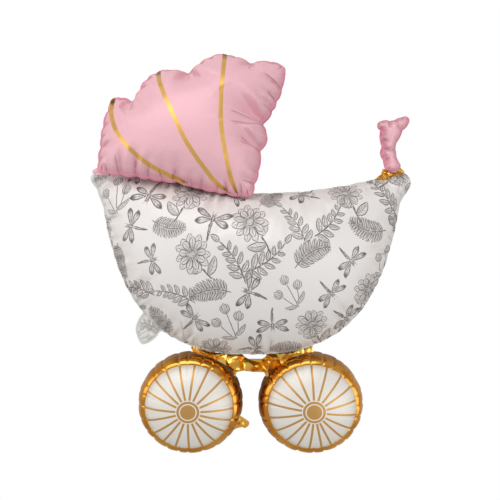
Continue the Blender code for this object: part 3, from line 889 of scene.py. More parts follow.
class Print:
    """The tossed botanical print: places of motifs on the flat film, and its transfer to a mesh."""

    REACH = 0.0042      # how far from a line its faces may lie

    def __init__(self, seed: int) -> None:
        """Draw two versions of each motif."""
        rng = np.random.default_rng(seed)
        self.lines: list[tuple[np.ndarray, float]] = []
        self.blades: list[Blade] = []
        self.kinds = {motif: [draw(rng) for _ in range(2)] for motif, draw in DRAWINGS.items()}

    def toss(self, motif: Motif, version: int, place: tuple, turn: float, size: float, flip: bool) -> None:
        """Put one motif on the film.

        Args:
            motif: its kind.
            version: which of its two drawings.
            place: its middle, in metres.
            turn: how far it is turned, in degrees.
            size: its scale.
            flip: whether it is mirrored.
        """
        art = self.kinds[motif][version]
        spin = turn_matrix(math.radians(turn)) * size / MM_PER_M
        mirror = np.array((-1.0 if flip else 1.0, 1.0))
        for points, half in art.lines:
            self.lines.append(((points * mirror) @ spin + place, half * size / MM_PER_M))
        for blade in art.blades:
            self.blades.append(Blade((blade.spine * mirror) @ spin + place, blade.half * size / MM_PER_M,
                                     blade.shade, blade.dark))

    def transfer(self, mesh: bpy.types.Mesh, film: np.ndarray) -> None:
        """Store the print on a mesh of quads.

        Args:
            mesh: the mesh.
            film: each point's place on the flat film.
        """
        corners = corners_of(mesh)
        tone = np.zeros(len(film))
        for blade in self.blades:
            near = close_by(film, blade.spine, float(blade.half.max()))
            side, share = blade.across(film[near])
            held = np.abs(side) < 1.0
            tone[near[held]] = blade.tone(side[held], share[held])
        put_values(mesh, "tone", tone)
        transfer_lines(mesh, film, corners, self.lines, self.REACH, ("line_a", "line_b"))


def close_by(spots: np.ndarray, line: np.ndarray, reach: float) -> np.ndarray:
    """Numbers of the spots in a line's box grown by a reach."""
    low, high = line.min(axis=0) - reach, line.max(axis=0) + reach
    return np.flatnonzero(((spots > low) & (spots < high)).all(axis=1))


def transfer_lines(mesh: bpy.types.Mesh, film: np.ndarray, corners: np.ndarray,
                   lines: list[tuple[np.ndarray, float]], reach: float, names: tuple[str, str]) -> None:
    """Store each face's two nearest lines at its corners.

    Args:
        mesh: the mesh.
        film: each point's place on the flat film.
        corners: numbers of each face's four points.
        lines: the lines, with half their width.
        reach: how far from a line its faces may lie.
        names: attributes that take distance to the line, length to its nearer end and half width.
    """
    middles = film[corners].mean(axis=1)
    gaps = np.full((2, len(middles)), reach)
    chosen = np.full((2, len(middles)), -1)
    for number, (line, _) in enumerate(lines):
        near = close_by(middles, line, reach)
        if len(near) == 0:
            continue
        across, along = track(middles[near], line)
        over = np.maximum(np.maximum(-along, along - line_length(line)), 0.0)
        gap = np.hypot(across, over)
        first = gap < gaps[0, near]
        second = ~first & (gap < gaps[1, near])
        at = near[first]
        gaps[1, at], chosen[1, at] = gaps[0, at], chosen[0, at]
        gaps[0, at], chosen[0, at] = gap[first], number
        at = near[second]
        gaps[1, at], chosen[1, at] = gap[second], number
    for layer, name in enumerate(names):
        values = np.tile(np.array((0.0, 0.0, -1.0)), (len(corners), 4, 1))
        order = np.argsort(chosen[layer], kind="stable")
        bounds = np.searchsorted(chosen[layer][order], np.arange(len(lines) + 1))
        for number, (line, half) in enumerate(lines):
            at = order[bounds[number]:bounds[number + 1]]
            if len(at) == 0:
                continue
            across, along = track(film[corners[at]].reshape(-1, 2), line)
            ends = np.minimum(along, line_length(line) - along)
            values[at] = np.column_stack((across, ends, np.full(len(across), half))).reshape(-1, 4, 3)
        put_values(mesh, name, values.reshape(-1, 3), "CORNER")


def corners_of(mesh: bpy.types.Mesh) -> np.ndarray:
    """Numbers of the four points of each face of a mesh of quads."""
    corners = np.empty(len(mesh.loops), dtype=np.int32)
    mesh.loops.foreach_get("vertex_index", corners)
    return corners.reshape(-1, 4)


# ---------------------------------------------------------------- shader wiring

class Term:
    """A number in a node tree, so that formulas read as formulas."""

    def __init__(self, tree: bpy.types.NodeTree, socket: bpy.types.NodeSocket) -> None:
        """Wrap an output socket."""
        self.tree = tree
        self.socket = socket

    def math(self, operation: str, *others: "Term | float") -> "Term":
        """Put this number and others through a Math node."""
        node = self.tree.nodes.new("ShaderNodeMath")
        node.operation = operation
        for socket, value in zip(node.inputs, (self, *others)):
            feed(self.tree, socket, value)
        return Term(self.tree, node.outputs[0])

    def __add__(self, other: "Term | float") -> "Term":
        """Sum."""
        return self.math("ADD", other)

    def __sub__(self, other: "Term | float") -> "Term":
        """Difference."""
        return self.math("SUBTRACT", other)

    def __mul__(self, other: "Term | float") -> "Term":
        """Product."""
        return self.math("MULTIPLY", other)

    def __truediv__(self, other: "Term | float") -> "Term":
        """Quotient."""
        return self.math("DIVIDE", other)

    def __rsub__(self, other: float) -> "Term":
        """Difference from a plain number."""
        return self.math("MULTIPLY", -1.0).math("ADD", other)

    __radd__ = __add__
    __rmul__ = __mul__

    def size(self) -> "Term":
        """Value without its sign."""
        return self.math("ABSOLUTE")

    def step(self, low: float, high: float) -> "Term":
        """Smooth step from 0 at low to 1 at high."""
        node = self.tree.nodes.new("ShaderNodeMapRange")
        node.interpolation_type = "SMOOTHSTEP"
        feed(self.tree, node.inputs["Value"], self)
        ends = (high, low, 1.0, 0.0) if low > high else (low, high, 0.0, 1.0)
        for name, value in zip(("From Min", "From Max", "To Min", "To Max"), ends):
            node.inputs[name].default_value = value
        return Term(self.tree, node.outputs["Result"])


def feed(tree: bpy.types.NodeTree, socket: bpy.types.NodeSocket, value: object) -> None:
    """Give an input socket a number, a colour, a Term or an output socket."""
    if isinstance(value, Term):
        tree.links.new(value.socket, socket)
    elif isinstance(value, bpy.types.NodeSocket):
        tree.links.new(value, socket)
    else:
        socket.default_value = value


class Paint:
    """A material under construction."""

    def __init__(self, name: str) -> None:
        """Start a material with one Principled shader."""
        self.material = bpy.data.materials.new(name)
        self.material.use_nodes = True
        self.tree = self.material.node_tree
        self.shader = self.tree.nodes["Principled BSDF"]

    def set(self, **values: object) -> None:
        """Set the shader's sockets, with _ for each space in a name."""
        for name, value in values.items():
            feed(self.tree, self.shader.inputs[name.replace("_", " ")], value)

    def values(self, name: str) -> Term:
        """A number stored on the mesh."""
        node = self.tree.nodes.new("ShaderNodeAttribute")
        node.attribute_name = name
        return Term(self.tree, node.outputs["Fac"])

    def vectors(self, name: str) -> bpy.types.NodeSocket:
        """A vector stored on the mesh."""
        node = self.tree.nodes.new("ShaderNodeAttribute")
        node.attribute_name = name
        return node.outputs["Vector"]

    def fed_by(self, name: str) -> bpy.types.NodeSocket:
        """The output that feeds one of the shader's sockets."""
        return self.shader.inputs[name].links[0].from_socket

    def effect(self, group: bpy.types.NodeTree, **values: object) -> dict[str, Term]:
        """Place a shared effect, set its inputs and give its outputs by name."""
        node = self.tree.nodes.new("ShaderNodeGroup")
        node.node_tree = group
        for name, value in values.items():
            feed(self.tree, node.inputs[name.replace("_", " ")], value)
        return {socket.name: Term(self.tree, socket) for socket in node.outputs}

    def blend(self, share: Term, first: object, second: object) -> bpy.types.NodeSocket:
        """Mix two colours."""
        node = self.tree.nodes.new("ShaderNodeMix")
        node.data_type = "RGBA"
        feed(self.tree, node.inputs["Factor"], share)
        feed(self.tree, node.inputs[6], first)
        feed(self.tree, node.inputs[7], second)
        return node.outputs[2]

    def bump(self, height: Term, strength: float, distance: float) -> bpy.types.NodeSocket:
        """Turn a height into a normal."""
        node = self.tree.nodes.new("ShaderNodeBump")
        node.inputs["Strength"].default_value = strength
        node.inputs["Distance"].default_value = distance
        feed(self.tree, node.inputs["Height"], height)
        return node.outputs["Normal"]


def noise(tree: bpy.types.NodeTree, where: object, scale: Term | float, detail: float = 2.0,
          distortion: float = 0.0) -> Term:
    """Soft noise from 0 to 1."""
    node = tree.nodes.new("ShaderNodeTexNoise")
    for name, value in (("Vector", where), ("Scale", scale), ("Detail", detail), ("Distortion", distortion)):
        feed(tree, node.inputs[name], value)
    return Term(tree, node.outputs["Fac"])


def effect_group(name: str, vectors: tuple[str, ...], numbers: tuple[str, ...],
                 outputs: tuple[str, ...]) -> tuple:
    """Start a node group.

    Args:
        name: the group's name.
        vectors: names of the inputs that take a vector.
        numbers: names of the inputs that take a number.
        outputs: names of the outputs, all numbers.

    Returns:
        The group, the outputs of its input node by name, and its output node.
    """
    group = bpy.data.node_groups.new(name, "ShaderNodeTree")
    for labels, direction, kind in ((vectors, "INPUT", "NodeSocketVector"),
                                    (numbers, "INPUT", "NodeSocketFloat"),
                                    (outputs, "OUTPUT", "NodeSocketFloat")):
        for label in labels:
            group.interface.new_socket(label, in_out=direction, socket_type=kind)
    given = group.nodes.new("NodeGroupInput").outputs
    return group, given, group.nodes.new("NodeGroupOutput")


def line_parts(group: bpy.types.NodeTree, socket: bpy.types.NodeSocket) -> list[Term]:
    """Distance to a stored line, length to its nearer end and half its width."""
    parts = group.nodes.new("ShaderNodeSeparateXYZ")
    feed(group, parts.inputs[0], socket)
    return [Term(group, part) for part in parts.outputs]


class Effects:
    """Node groups that more than one material uses."""

    def __init__(self) -> None:
        """Build every group once."""
        self.crinkle = self.make_crinkle()
        self.welding = self.make_welding()
        self.ink = self.make_ink()
        self.folds = self.make_folds()

    @staticmethod
    def make_crinkle() -> bpy.types.NodeTree:
        """Fine tension wrinkles and soft waves of blown film."""
        group, given, made = effect_group("film_crinkle", ("Film",), ("Scale", "Weld"), ("Height", "Patch"))
        scale = Term(group, given["Scale"])
        waves = noise(group, given["Film"], scale, 3.0)
        fine = noise(group, given["Film"], scale * 5.0, 2.0, 1.2)
        near = Term(group, given["Weld"]).step(0.045, 0.0)
        ridged = 1.0 - (fine * 2.0 - 1.0).size()
        feed(group, made.inputs["Height"], waves + ridged * near * 0.6)
        feed(group, made.inputs["Patch"], waves)
        return group

    @staticmethod
    def make_welding() -> bpy.types.NodeTree:
        """Masks of the flat weld and of the painted shade on the gathered film near it."""
        group, given, made = effect_group("weld_and_seam_shade_masks", ("Film",), ("Weld",), ("Rim", "Seam Shade", "Ribs"))
        weld = Term(group, given["Weld"])
        feed(group, made.inputs["Rim"], weld.step(0.0006, -0.0006))
        feed(group, made.inputs["Seam Shade"], weld.step(0.014, 0.0))
        feed(group, made.inputs["Ribs"], noise(group, given["Film"], 55.0))
        return group

    @staticmethod
    def make_folds() -> bpy.types.NodeTree:
        """Sharp creases, steep on one side, with the shadow that gathers in them."""
        group, given, made = effect_group("film_folds", ("Fold A", "Fold B"), (), ("Height", "Shadow"))
        heights, shadows = [], []
        for label in ("Fold A", "Fold B"):
            across, ends, half = line_parts(group, given[label])
            length = ends.step(0.0, 0.012) * half.step(0.0, 0.001)
            wide = half * (across.step(-0.0002, 0.0002) * 1.1 + 0.6)
            slope = (1.0 - across.size() / wide.math("MAXIMUM", 0.0001)).math("MAXIMUM", 0.0)
            heights.append(slope * length)
            shadows.append(slope.math("POWER", 3.0) * length)
        feed(group, made.inputs["Height"], heights[0].math("MAXIMUM", heights[1]) * -1.0)
        feed(group, made.inputs["Shadow"], shadows[0].math("MAXIMUM", shadows[1]))
        return group

    @staticmethod
    def make_ink() -> bpy.types.NodeTree:
        """Mask of a printed drawing: tapered lines over grainy shading."""
        group, given, made = effect_group("print_ink", ("Line A", "Line B", "Film"), ("Tone",), ("Ink",))
        masks = []
        for label in ("Line A", "Line B"):
            across, ends, half = line_parts(group, given[label])
            width = half * (ends.step(-0.0003, 0.005) * 0.8 + 0.55)
            masks.append((width - across.size()).step(-0.00025, 0.00030) * ends.step(-0.0008, 0.0002))
        grain = noise(group, given["Film"], 700.0)
        shade = Term(group, given["Tone"]) * (grain * 1.6 + 0.35)
        lines = masks[0].math("MAXIMUM", masks[1]) * 0.92
        feed(group, made.inputs["Ink"], lines.math("MAXIMUM", shade).math("MINIMUM", 1.0))
        return group


# ---------------------------------------------------------------- finishes

@dataclass(frozen=True)
class SatinFilm:
    """Coloured film with a soft silky shine and a darker weld."""

    name: str
    colour: tuple[float, float, float]
    # colour of the weld, also used for the painted shade near the seam and in the creases
    weld_and_shade_colour: tuple[float, float, float]
    roughness: float = 0.52
    metallic: float = 0.15
    wave_scale: float = 14.0
    folded: bool = True          # whether its mesh carries creases
    patchy: float = 0.25         # share of the deeper colour in its waves
    seam_shade: float = 0.35         # painted shade: share of the weld's colour laid on the gathered film near the seam
    crinkle: float = 0.12        # height of its fine wrinkles
    fold_height: float = 0.55
    fold_shadow: float = 0.34

    def paint(self, effects: Effects) -> Paint:
        """Wire the film; callers may add prints to the paint."""
        paint = Paint(self.name)
        film, weld = paint.vectors("film"), paint.values("weld")
        crinkle = paint.effect(effects.crinkle, Film=film, Scale=self.wave_scale, Weld=weld)
        masks = paint.effect(effects.welding, Weld=weld, Film=film)
        deep = tuple(0.80 * c for c in self.colour)
        body = paint.blend(crinkle["Patch"] * self.patchy, (*self.colour, 1), (*deep, 1))
        # Painted shade: the film darkens towards the weld's colour near the seam, where it curves in and
        # gathers.
        shaded = paint.blend(masks["Seam Shade"] * self.seam_shade, body, (*self.weld_and_shade_colour, 1))
        worn = masks["Rim"] * (masks["Ribs"] * 0.9 + 0.25)
        colour = paint.blend(worn, shaded, (*self.weld_and_shade_colour, 1))
        rough = crinkle["Patch"] * 0.10 + (self.roughness - 0.05)
        height = crinkle["Height"] * self.crinkle
        if self.folded:
            folds = paint.effect(effects.folds, Fold_A=paint.vectors("fold_a"),
                                 Fold_B=paint.vectors("fold_b"))
            height = height + folds["Height"] * self.fold_height
            shadow = folds["Shadow"] * self.fold_shadow
            colour = paint.blend(shadow, colour, (*(0.55 * c for c in self.weld_and_shade_colour), 1))
        paint.set(Base_Color=colour, Roughness=rough, Metallic=self.metallic,
                  Normal=paint.bump(height, 1.0, 0.004))
        return paint

    def material(self, effects: Effects) -> bpy.types.Material:
        """The finished material."""
        return self.paint(effects).material


WHEEL_WHITE = SatinFilm("white_wheel_film", (0.80, 0.77, 0.71), (0.50, 0.30, 0.10), roughness=0.42,
                        folded=False)
TUB_WHITE = SatinFilm("white_tub_film", (0.80, 0.77, 0.75), (0.62, 0.60, 0.58))
PINK = SatinFilm("pink_satin_film", (0.82, 0.47, 0.53), (0.62, 0.18, 0.27))


@dataclass(frozen=True)
class StripedFilm:
    """Satin film with narrow mirror-gold stripes printed on it."""

    film: SatinFilm
    half: float
    gold: tuple[float, float, float] = (0.78, 0.46, 0.13)
    # painted shade that darkens the stripes towards their ends
    dark: tuple[float, float, float] = (0.16, 0.05, 0.01)

    def material(self, effects: Effects) -> bpy.types.Material:
        """The finished material."""
        paint = self.film.paint(effects)
        paint.material.name = "striped_" + self.film.name
        base = paint.fed_by("Base Color")
        rough = Term(paint.tree, paint.fed_by("Roughness"))
        share = paint.values("stripe_share")
        narrow = paint.values("stripe") + share.step(0.86, 1.0) * self.half
        mask = narrow.step(self.half + 0.0004, self.half - 0.0004) * share.step(1.0, 0.985)
        # Painted shade: each stripe darkens towards its folded top end and where it runs under the hood's
        # lower edge.
        fade = share.step(0.050, 0.010).math("MAXIMUM", share.step(0.84, 0.98))
        gold = paint.blend(fade * 0.85, (*self.gold, 1), (*self.dark, 1))
        paint.set(Base_Color=paint.blend(mask, base, gold), Metallic=mask * 0.75 + self.film.metallic,
                  Roughness=rough - mask * 0.08)
        return paint.material


@dataclass(frozen=True)
class PrintedFilm:
    """Satin film with a drawing printed in grey-brown ink."""

    film: SatinFilm
    ink: tuple[float, float, float] = (0.085, 0.066, 0.068)

    def material(self, effects: Effects) -> bpy.types.Material:
        """The finished material."""
        paint = self.film.paint(effects)
        paint.material.name = "printed_" + self.film.name
        drawn = paint.effect(effects.ink, Line_A=paint.vectors("line_a"), Line_B=paint.vectors("line_b"),
                             Tone=paint.values("tone"), Film=paint.vectors("film"))
        base = paint.fed_by("Base Color")
        paint.set(Base_Color=paint.blend(drawn["Ink"], base, (*self.ink, 1)))
        return paint.material


@dataclass(frozen=True)
class MirrorGold:
    """Gold metallised foil, crushed or taut."""

    name: str
    colour: tuple[float, float, float] = (0.80, 0.42, 0.11)
    deep: tuple[float, float, float] = (0.50, 0.20, 0.03)
    roughness: float = 0.16
    wave_scale: float = 22.0
    crinkle: float = 0.35

    def material(self, effects: Effects) -> bpy.types.Material:
        """The finished material."""
        paint = Paint(self.name)
        film, weld = paint.vectors("film"), paint.values("weld")
        crinkle = paint.effect(effects.crinkle, Film=film, Scale=self.wave_scale, Weld=weld)
        patch = crinkle["Patch"]
        paint.set(Base_Color=paint.blend(patch.step(0.35, 0.70), (*self.colour, 1), (*self.deep, 1)),
                  Roughness=patch * 0.12 + (self.roughness - 0.06), Metallic=1.0,
                  Normal=paint.bump(crinkle["Height"], self.crinkle, 0.004))
        return paint.material


WHEEL_GOLD = MirrorGold("wheel_gold_foil", (0.74, 0.36, 0.065), (0.54, 0.21, 0.02), 0.22, 12.0, 0.08)
CRUSHED_GOLD = MirrorGold("crushed_gold_foil", (1.0, 0.64, 0.15), (0.84, 0.44, 0.06), 0.20, 14.0, 0.06)


@dataclass(frozen=True)
class SpokedFilm:
    """Satin film of a wheel's face, with hub and spokes printed in matt gold."""

    film: SatinFilm
    gold: tuple[float, float, float] = (0.58, 0.32, 0.10)
    spoke_half: float = 0.0026
    spoke_start: float = 0.0290
    hub_radius: float = 0.0180
    ring: tuple[float, float] = (0.0208, 0.0266)

    def material(self, effects: Effects) -> bpy.types.Material:
        """The finished material."""
        paint = self.film.paint(effects)
        paint.material.name = "spoked_" + self.film.name
        soft = 0.0004
        hub = paint.values("hub")
        spoke = paint.values("spoke").step(self.spoke_half + soft, self.spoke_half - soft)
        spoke = spoke * hub.step(self.spoke_start - soft, self.spoke_start + soft)
        disc = hub.step(self.hub_radius + soft, self.hub_radius - soft)
        ring = (hub.step(self.ring[0] - soft, self.ring[0] + soft)
                * hub.step(self.ring[1] + soft, self.ring[1] - soft))
        mask = (spoke + disc + ring).math("MINIMUM", 1.0)
        base = paint.fed_by("Base Color")
        paint.set(Base_Color=paint.blend(mask, base, (*self.gold, 1)),
                  Metallic=mask * 0.5 + self.film.metallic)
        return paint.material


@dataclass(frozen=True)
class ClearFilm:
    """The filling tail's film: printed white inside, unprinted and see-through along its border."""

    name: str
    colour: tuple[float, float, float] = (0.72, 0.70, 0.67)
    border_colour: tuple[float, float, float] = (0.70, 0.76, 0.70)
    # painted shade for the dark line in the crease at the border's inner edge
    crease_shade_colour: tuple[float, float, float] = (0.16, 0.15, 0.13)
    ink: tuple[float, float, float] = (0.20, 0.18, 0.17)
    border: float = 0.0045
    alpha: float = 0.70

    def material(self, effects: Effects) -> bpy.types.Material:
        """The finished material."""
        paint = Paint(self.name)
        film, weld = paint.vectors("film"), paint.values("weld")
        crinkle = paint.effect(effects.crinkle, Film=film, Scale=60.0, Weld=weld)
        patch = crinkle["Patch"]
        drawn = paint.effect(effects.ink, Line_A=paint.vectors("line_a"), Line_B=paint.vectors("line_b"),
                             Tone=paint.values("tone"), Film=film)
        inside = weld.step(self.border - 0.0006, self.border)
        # Painted shade: a dark line in the crease along the inner edge of the border, broken up by the film's
        # waves.
        crease = weld.step(self.border - 0.0008, self.border) * weld.step(self.border + 0.0016, self.border)
        white = paint.blend(drawn["Ink"], (*self.colour, 1), (*self.ink, 1))
        crease_shaded = paint.blend(crease * patch * 1.1, white, (*self.crease_shade_colour, 1))
        paint.set(Base_Color=paint.blend(inside, (*self.border_colour, 1), crease_shaded), Metallic=0.15,
                  Roughness=patch * 0.15 + 0.25, Alpha=inside * (1.0 - self.alpha) + self.alpha,
                  Normal=paint.bump(crinkle["Height"], 0.35, 0.003))
        return paint.material


# ---------------------------------------------------------------- sub-assemblies

@dataclass
class Tub:
    """The boat-shaped printed chamber."""

    width: float = 0.737
    depth: float = 0.444
    thickness: float = 0.270
    fullness: float = 2.4
    taper: float = 0.04
    top_sag: float = 0.055
    top_radius: float = 1.150
    top_low_x: float = 0.020
    left_lobe: tuple[float, float, float] = (0.019, 0.020, 0.024)     # radius, reach, drop
    right_lobe: tuple[float, float, float] = (0.0305, 0.0160, 0.034)
    rim: float = 0.004
    # Large folds: place, then pull, length, half width and depth
    notches: tuple = (
        ((-0.388, -0.030), 0.007, 0.030, 0.006, 0.8), ((-0.372, -0.048), 0.005, 0.035, 0.007, 0.7),
        ((0.383, -0.046), 0.004, 0.040, 0.007, 0.7), ((0.352, -0.002), 0.003, 0.040, 0.007, 0.6),
        ((-0.300, -0.300), 0.003, 0.040, 0.008, 0.6), ((-0.160, -0.420), 0.003, 0.050, 0.009, 0.6),
    )
    hood_lift: float = 0.016         # how far the hood draws the top seam up behind it
    pitch: tuple[float, float] = (0.098, 0.078)      # between the print's motifs
    jitter: tuple[float, float] = (9, 7)             # how far each may be shifted, in millimetres
    motifs: tuple[Motif, ...] = (Motif.DAISY, Motif.DRAGONFLY, Motif.SPRIG, Motif.BUDS, Motif.DRAGONFLY,
                                 Motif.DAISY, Motif.FERN, Motif.DRAGONFLY, Motif.FERN, Motif.SPRIG,
                                 Motif.DRAGONFLY)

    def half_width(self, y: float) -> float:
        """Half the width at a height below the shoulder line."""
        down = min(abs(y) / self.depth, 1.0)
        full = (1 - down ** self.fullness) ** (1 / self.fullness)
        return 0.5 * self.width * full * (1 - self.taper * math.sin(math.pi * down))

    def sag(self, x: float) -> float:
        """Height of the sagging top seam at x."""
        across = x - self.top_low_x
        under_hood = min(max((x + 0.310) / 0.290, 0.0), 1.0)
        lift = self.hood_lift * math.sin(math.pi * under_hood) ** 2
        return self.top_radius - math.sqrt(self.top_radius ** 2 - across ** 2) - self.top_sag + lift

    def lobe_points(self, side: int, angles: tuple) -> list[tuple[float, float]]:
        """Points of a round corner at angles in degrees."""
        radius, reach, drop = self.right_lobe if side > 0 else self.left_lobe
        centre = side * (0.5 * self.width + reach - radius)
        return [(centre + radius * math.cos(math.radians(a)), radius * math.sin(math.radians(a)) - drop)
                for a in angles]

    def outline(self) -> Outline:
        """The outer edge of the weld, from the shoulder line's middle."""
        right = self.lobe_points(1, (-60, -10, 40, 90, 135))
        left = self.lobe_points(-1, (100, 150, 200, 250))
        high = 0.5 * self.width + self.right_lobe[1] - 2.7 * self.right_lobe[0]
        low = -(0.5 * self.width + self.left_lobe[1] - 3.0 * self.left_lobe[0])
        top = [(x, self.sag(x)) for x in np.linspace(high, low, 9)]
        lower = []
        for turn in np.radians(np.linspace(188.0, 352.0, 21)):
            y = -self.depth * abs(math.sin(turn)) ** (2 / self.fullness)
            lower.append((math.copysign(self.half_width(y), math.cos(turn)), y))
        return Outline(smooth_closed(np.array(right + top + left + lower), 8))

    def build(self, effects: Effects) -> bpy.types.Object:
        """Make, place and dress the tub."""
        rng = np.random.default_rng(11)
        seam = self.outline().evened(0.004).grown(-self.rim)
        folds = even_puckers(seam, 0.026, 0.0030, 0.024, rng, self.notches)
        tub = Chamber("tub_film", seam, self.thickness, step=0.0075, rim=self.rim, puckers=folds, seed=2,
                      blow=Blow(pressure=30.0, share=0.45)).build()
        places = places_of(tub.data)
        places[:, :2] += SHOULDER
        places[:, 2] += MIDDLE
        places[:, 2] = np.maximum(places[:, 2], 0.0005)
        set_places(tub.data, places)
        self.decorate(tub.data)
        tub.data.materials.append(PrintedFilm(TUB_WHITE).material(effects))
        wear(tub, "white_foil", "tub_balloon")
        return tub

    def decorate(self, mesh: bpy.types.Mesh) -> None:
        """Print the tossed motifs on both sheets, mirrored on the back."""
        rng = np.random.default_rng(44)
        art = Print(9)
        across, up = self.jitter
        for row in range(-7, 2):
            for column in range(-6, 7):
                place = ((column + 0.5 * (row % 2)) * self.pitch[0] + rng.uniform(-across, across) / MM_PER_M,
                         row * self.pitch[1] + rng.uniform(-up, up) / MM_PER_M)
                motif = self.motifs[(column * 4 + row * 3) % len(self.motifs)]
                lean = 50 if motif in UPRIGHT else 180
                turn = rng.uniform(-lean, lean)
                version, size = int(rng.integers(2)), SCALES[motif] * rng.uniform(0.90, 1.10)
                art.toss(motif, version, place, turn, size, bool(rng.integers(2)))
        film = get_values(mesh, "film")[:, :2].astype(float)
        film[:, 0] *= np.where(get_values(mesh, "side") > 0.5, 1.0, -1.0)
        art.transfer(mesh, film)


@dataclass
class Hood:
    """The scalloped pink chamber that leans against the tub."""

    width: float = 0.440
    height: float = 0.364
    thickness: float = 0.200
    lean: float = math.radians(10.0)
    corner: int = 2                     # which outline corner rests on the tub
    corner_place: tuple[float, float, float] = (0.0033, 0.1272, 0.200)
    rim: float = 0.004
    stripe_half: float = 0.0053
    # Middle lines of the gold stripes as seen from above, in millimetres from the eye's axis
    stripes: tuple = (
        ((-330, 357), (-333, 337), (-331, 314), (-319, 282), (-297, 252), (-271, 227), (-238, 202),
         (-198, 181), (-159, 164), (-135, 156)),
        ((-220, 430), (-217, 403), (-202, 364), (-182, 321), (-159, 271), (-133, 229), (-106, 192),
         (-83, 163), (-54, 141), (-34, 128)),
        ((-60, 472), (-64, 433), (-68, 393), (-70, 354), (-70, 314), (-65, 268), (-57, 222),
         (-46, 173), (-31, 135), (-24, 116)),
    )
    corners: tuple = (
        (0.000, 0.170, 0.00), (0.435, 0.097, 0.02), (0.810, 0.000, 0.05), (0.863, 0.312, 0.17),
        (0.882, 0.492, 0.08), (0.997, 0.895, 0.13), (0.810, 0.919, 0.24), (0.472, 0.854, 0.27),
        (0.177, 0.661, 0.14), (0.053, 0.671, 0.05),
    )

    # Large folds: share of width and height, then pull, length, half width and depth
    notches: tuple = (
        ((0.863, 0.312), 0.004, 0.046, 0.008, 0.55), ((0.882, 0.492), 0.006, 0.058, 0.009, 0.65),
        ((0.960, 0.740), 0.003, 0.036, 0.007, 0.55), ((0.810, 0.919), 0.003, 0.030, 0.007, 0.70),
        ((0.472, 0.854), 0.005, 0.044, 0.008, 0.70), ((0.177, 0.661), 0.006, 0.042, 0.009, 0.70),
        ((0.053, 0.671), 0.003, 0.022, 0.007, 0.60),
    )

    def placed(self, spots: np.ndarray) -> np.ndarray:
        """Turn the hood's own coordinates into places in the model."""
        lean = -self.lean
        x, y, z = spots.T
        turned = np.column_stack((x, y * math.cos(lean) - z * math.sin(lean),
                                  y * math.sin(lean) + z * math.cos(lean)))
        return turned + np.array(self.corner_place)

    def build(self, effects: Effects, tub: bpy.types.Object) -> bpy.types.Object:
        """Make, place and dress the hood."""
        rng = np.random.default_rng(5)
        size = (self.width, self.height)
        origin = np.array(self.corners[self.corner][:2]) * size
        outline = Outline(scalloped(self.corners, self.width, self.height, 0.003) - origin)
        seam = outline.evened(0.003).grown(-self.rim)
        notches = [(np.array(spot) * size - origin, *sizes) for spot, *sizes in self.notches]
        folds = even_puckers(seam, 0.030, 0.0058, 0.022, rng, tuple(notches))
        hood = Chamber("hood_film", seam, self.thickness, step=0.006, rim=self.rim, puckers=folds, seed=3,
                       blow=Blow(share=0.08)).build()
        set_places(hood.data, self.placed(places_of(hood.data)))
        self.print_stripes(hood.data)
        rest_on(hood, tub)
        hood.data.materials.append(StripedFilm(PINK, self.stripe_half).material(effects))
        wear(hood, "pink_foil", "hood_balloon")
        return hood

    def print_stripes(self, mesh: bpy.types.Mesh) -> None:
        """Store each point's distance to the nearest stripe and its place along it."""
        seen = seen_from_above(places_of(mesh))
        best = np.full(len(seen), np.inf)
        share = np.zeros(len(seen))
        for stripe in self.stripes:
            line = smooth_line(np.array(stripe) / MM_PER_M, 6)
            across, along = track(seen, line)
            gap = np.abs(across)
            closer = gap < best
            best[closer] = gap[closer]
            share[closer] = along[closer] / line_length(line)
        put_values(mesh, "stripe", best)
        put_values(mesh, "stripe_share", share)


def rest_on(piece: bpy.types.Object, support: bpy.types.Object, gap: float = 0.001) -> None:
    """Press a soft piece's points out of the front of the chamber that it rests on."""
    under = BVHTree.FromPolygons([v.co for v in support.data.vertices],
                                 [tuple(p.vertices) for p in support.data.polygons])
    places = places_of(piece.data)
    for k, (x, y, z) in enumerate(places):
        front = under.ray_cast(Vector((x, y, 1.0)), Vector((0, 0, -1)))[0]
        if front is None or z > front.z + gap:
            continue
        back = under.ray_cast(Vector((x, y, -1.0)), Vector((0, 0, 1)))[0]
        if z > back.z - gap:
            places[k, 2] = front.z + gap
    set_places(piece.data, places)


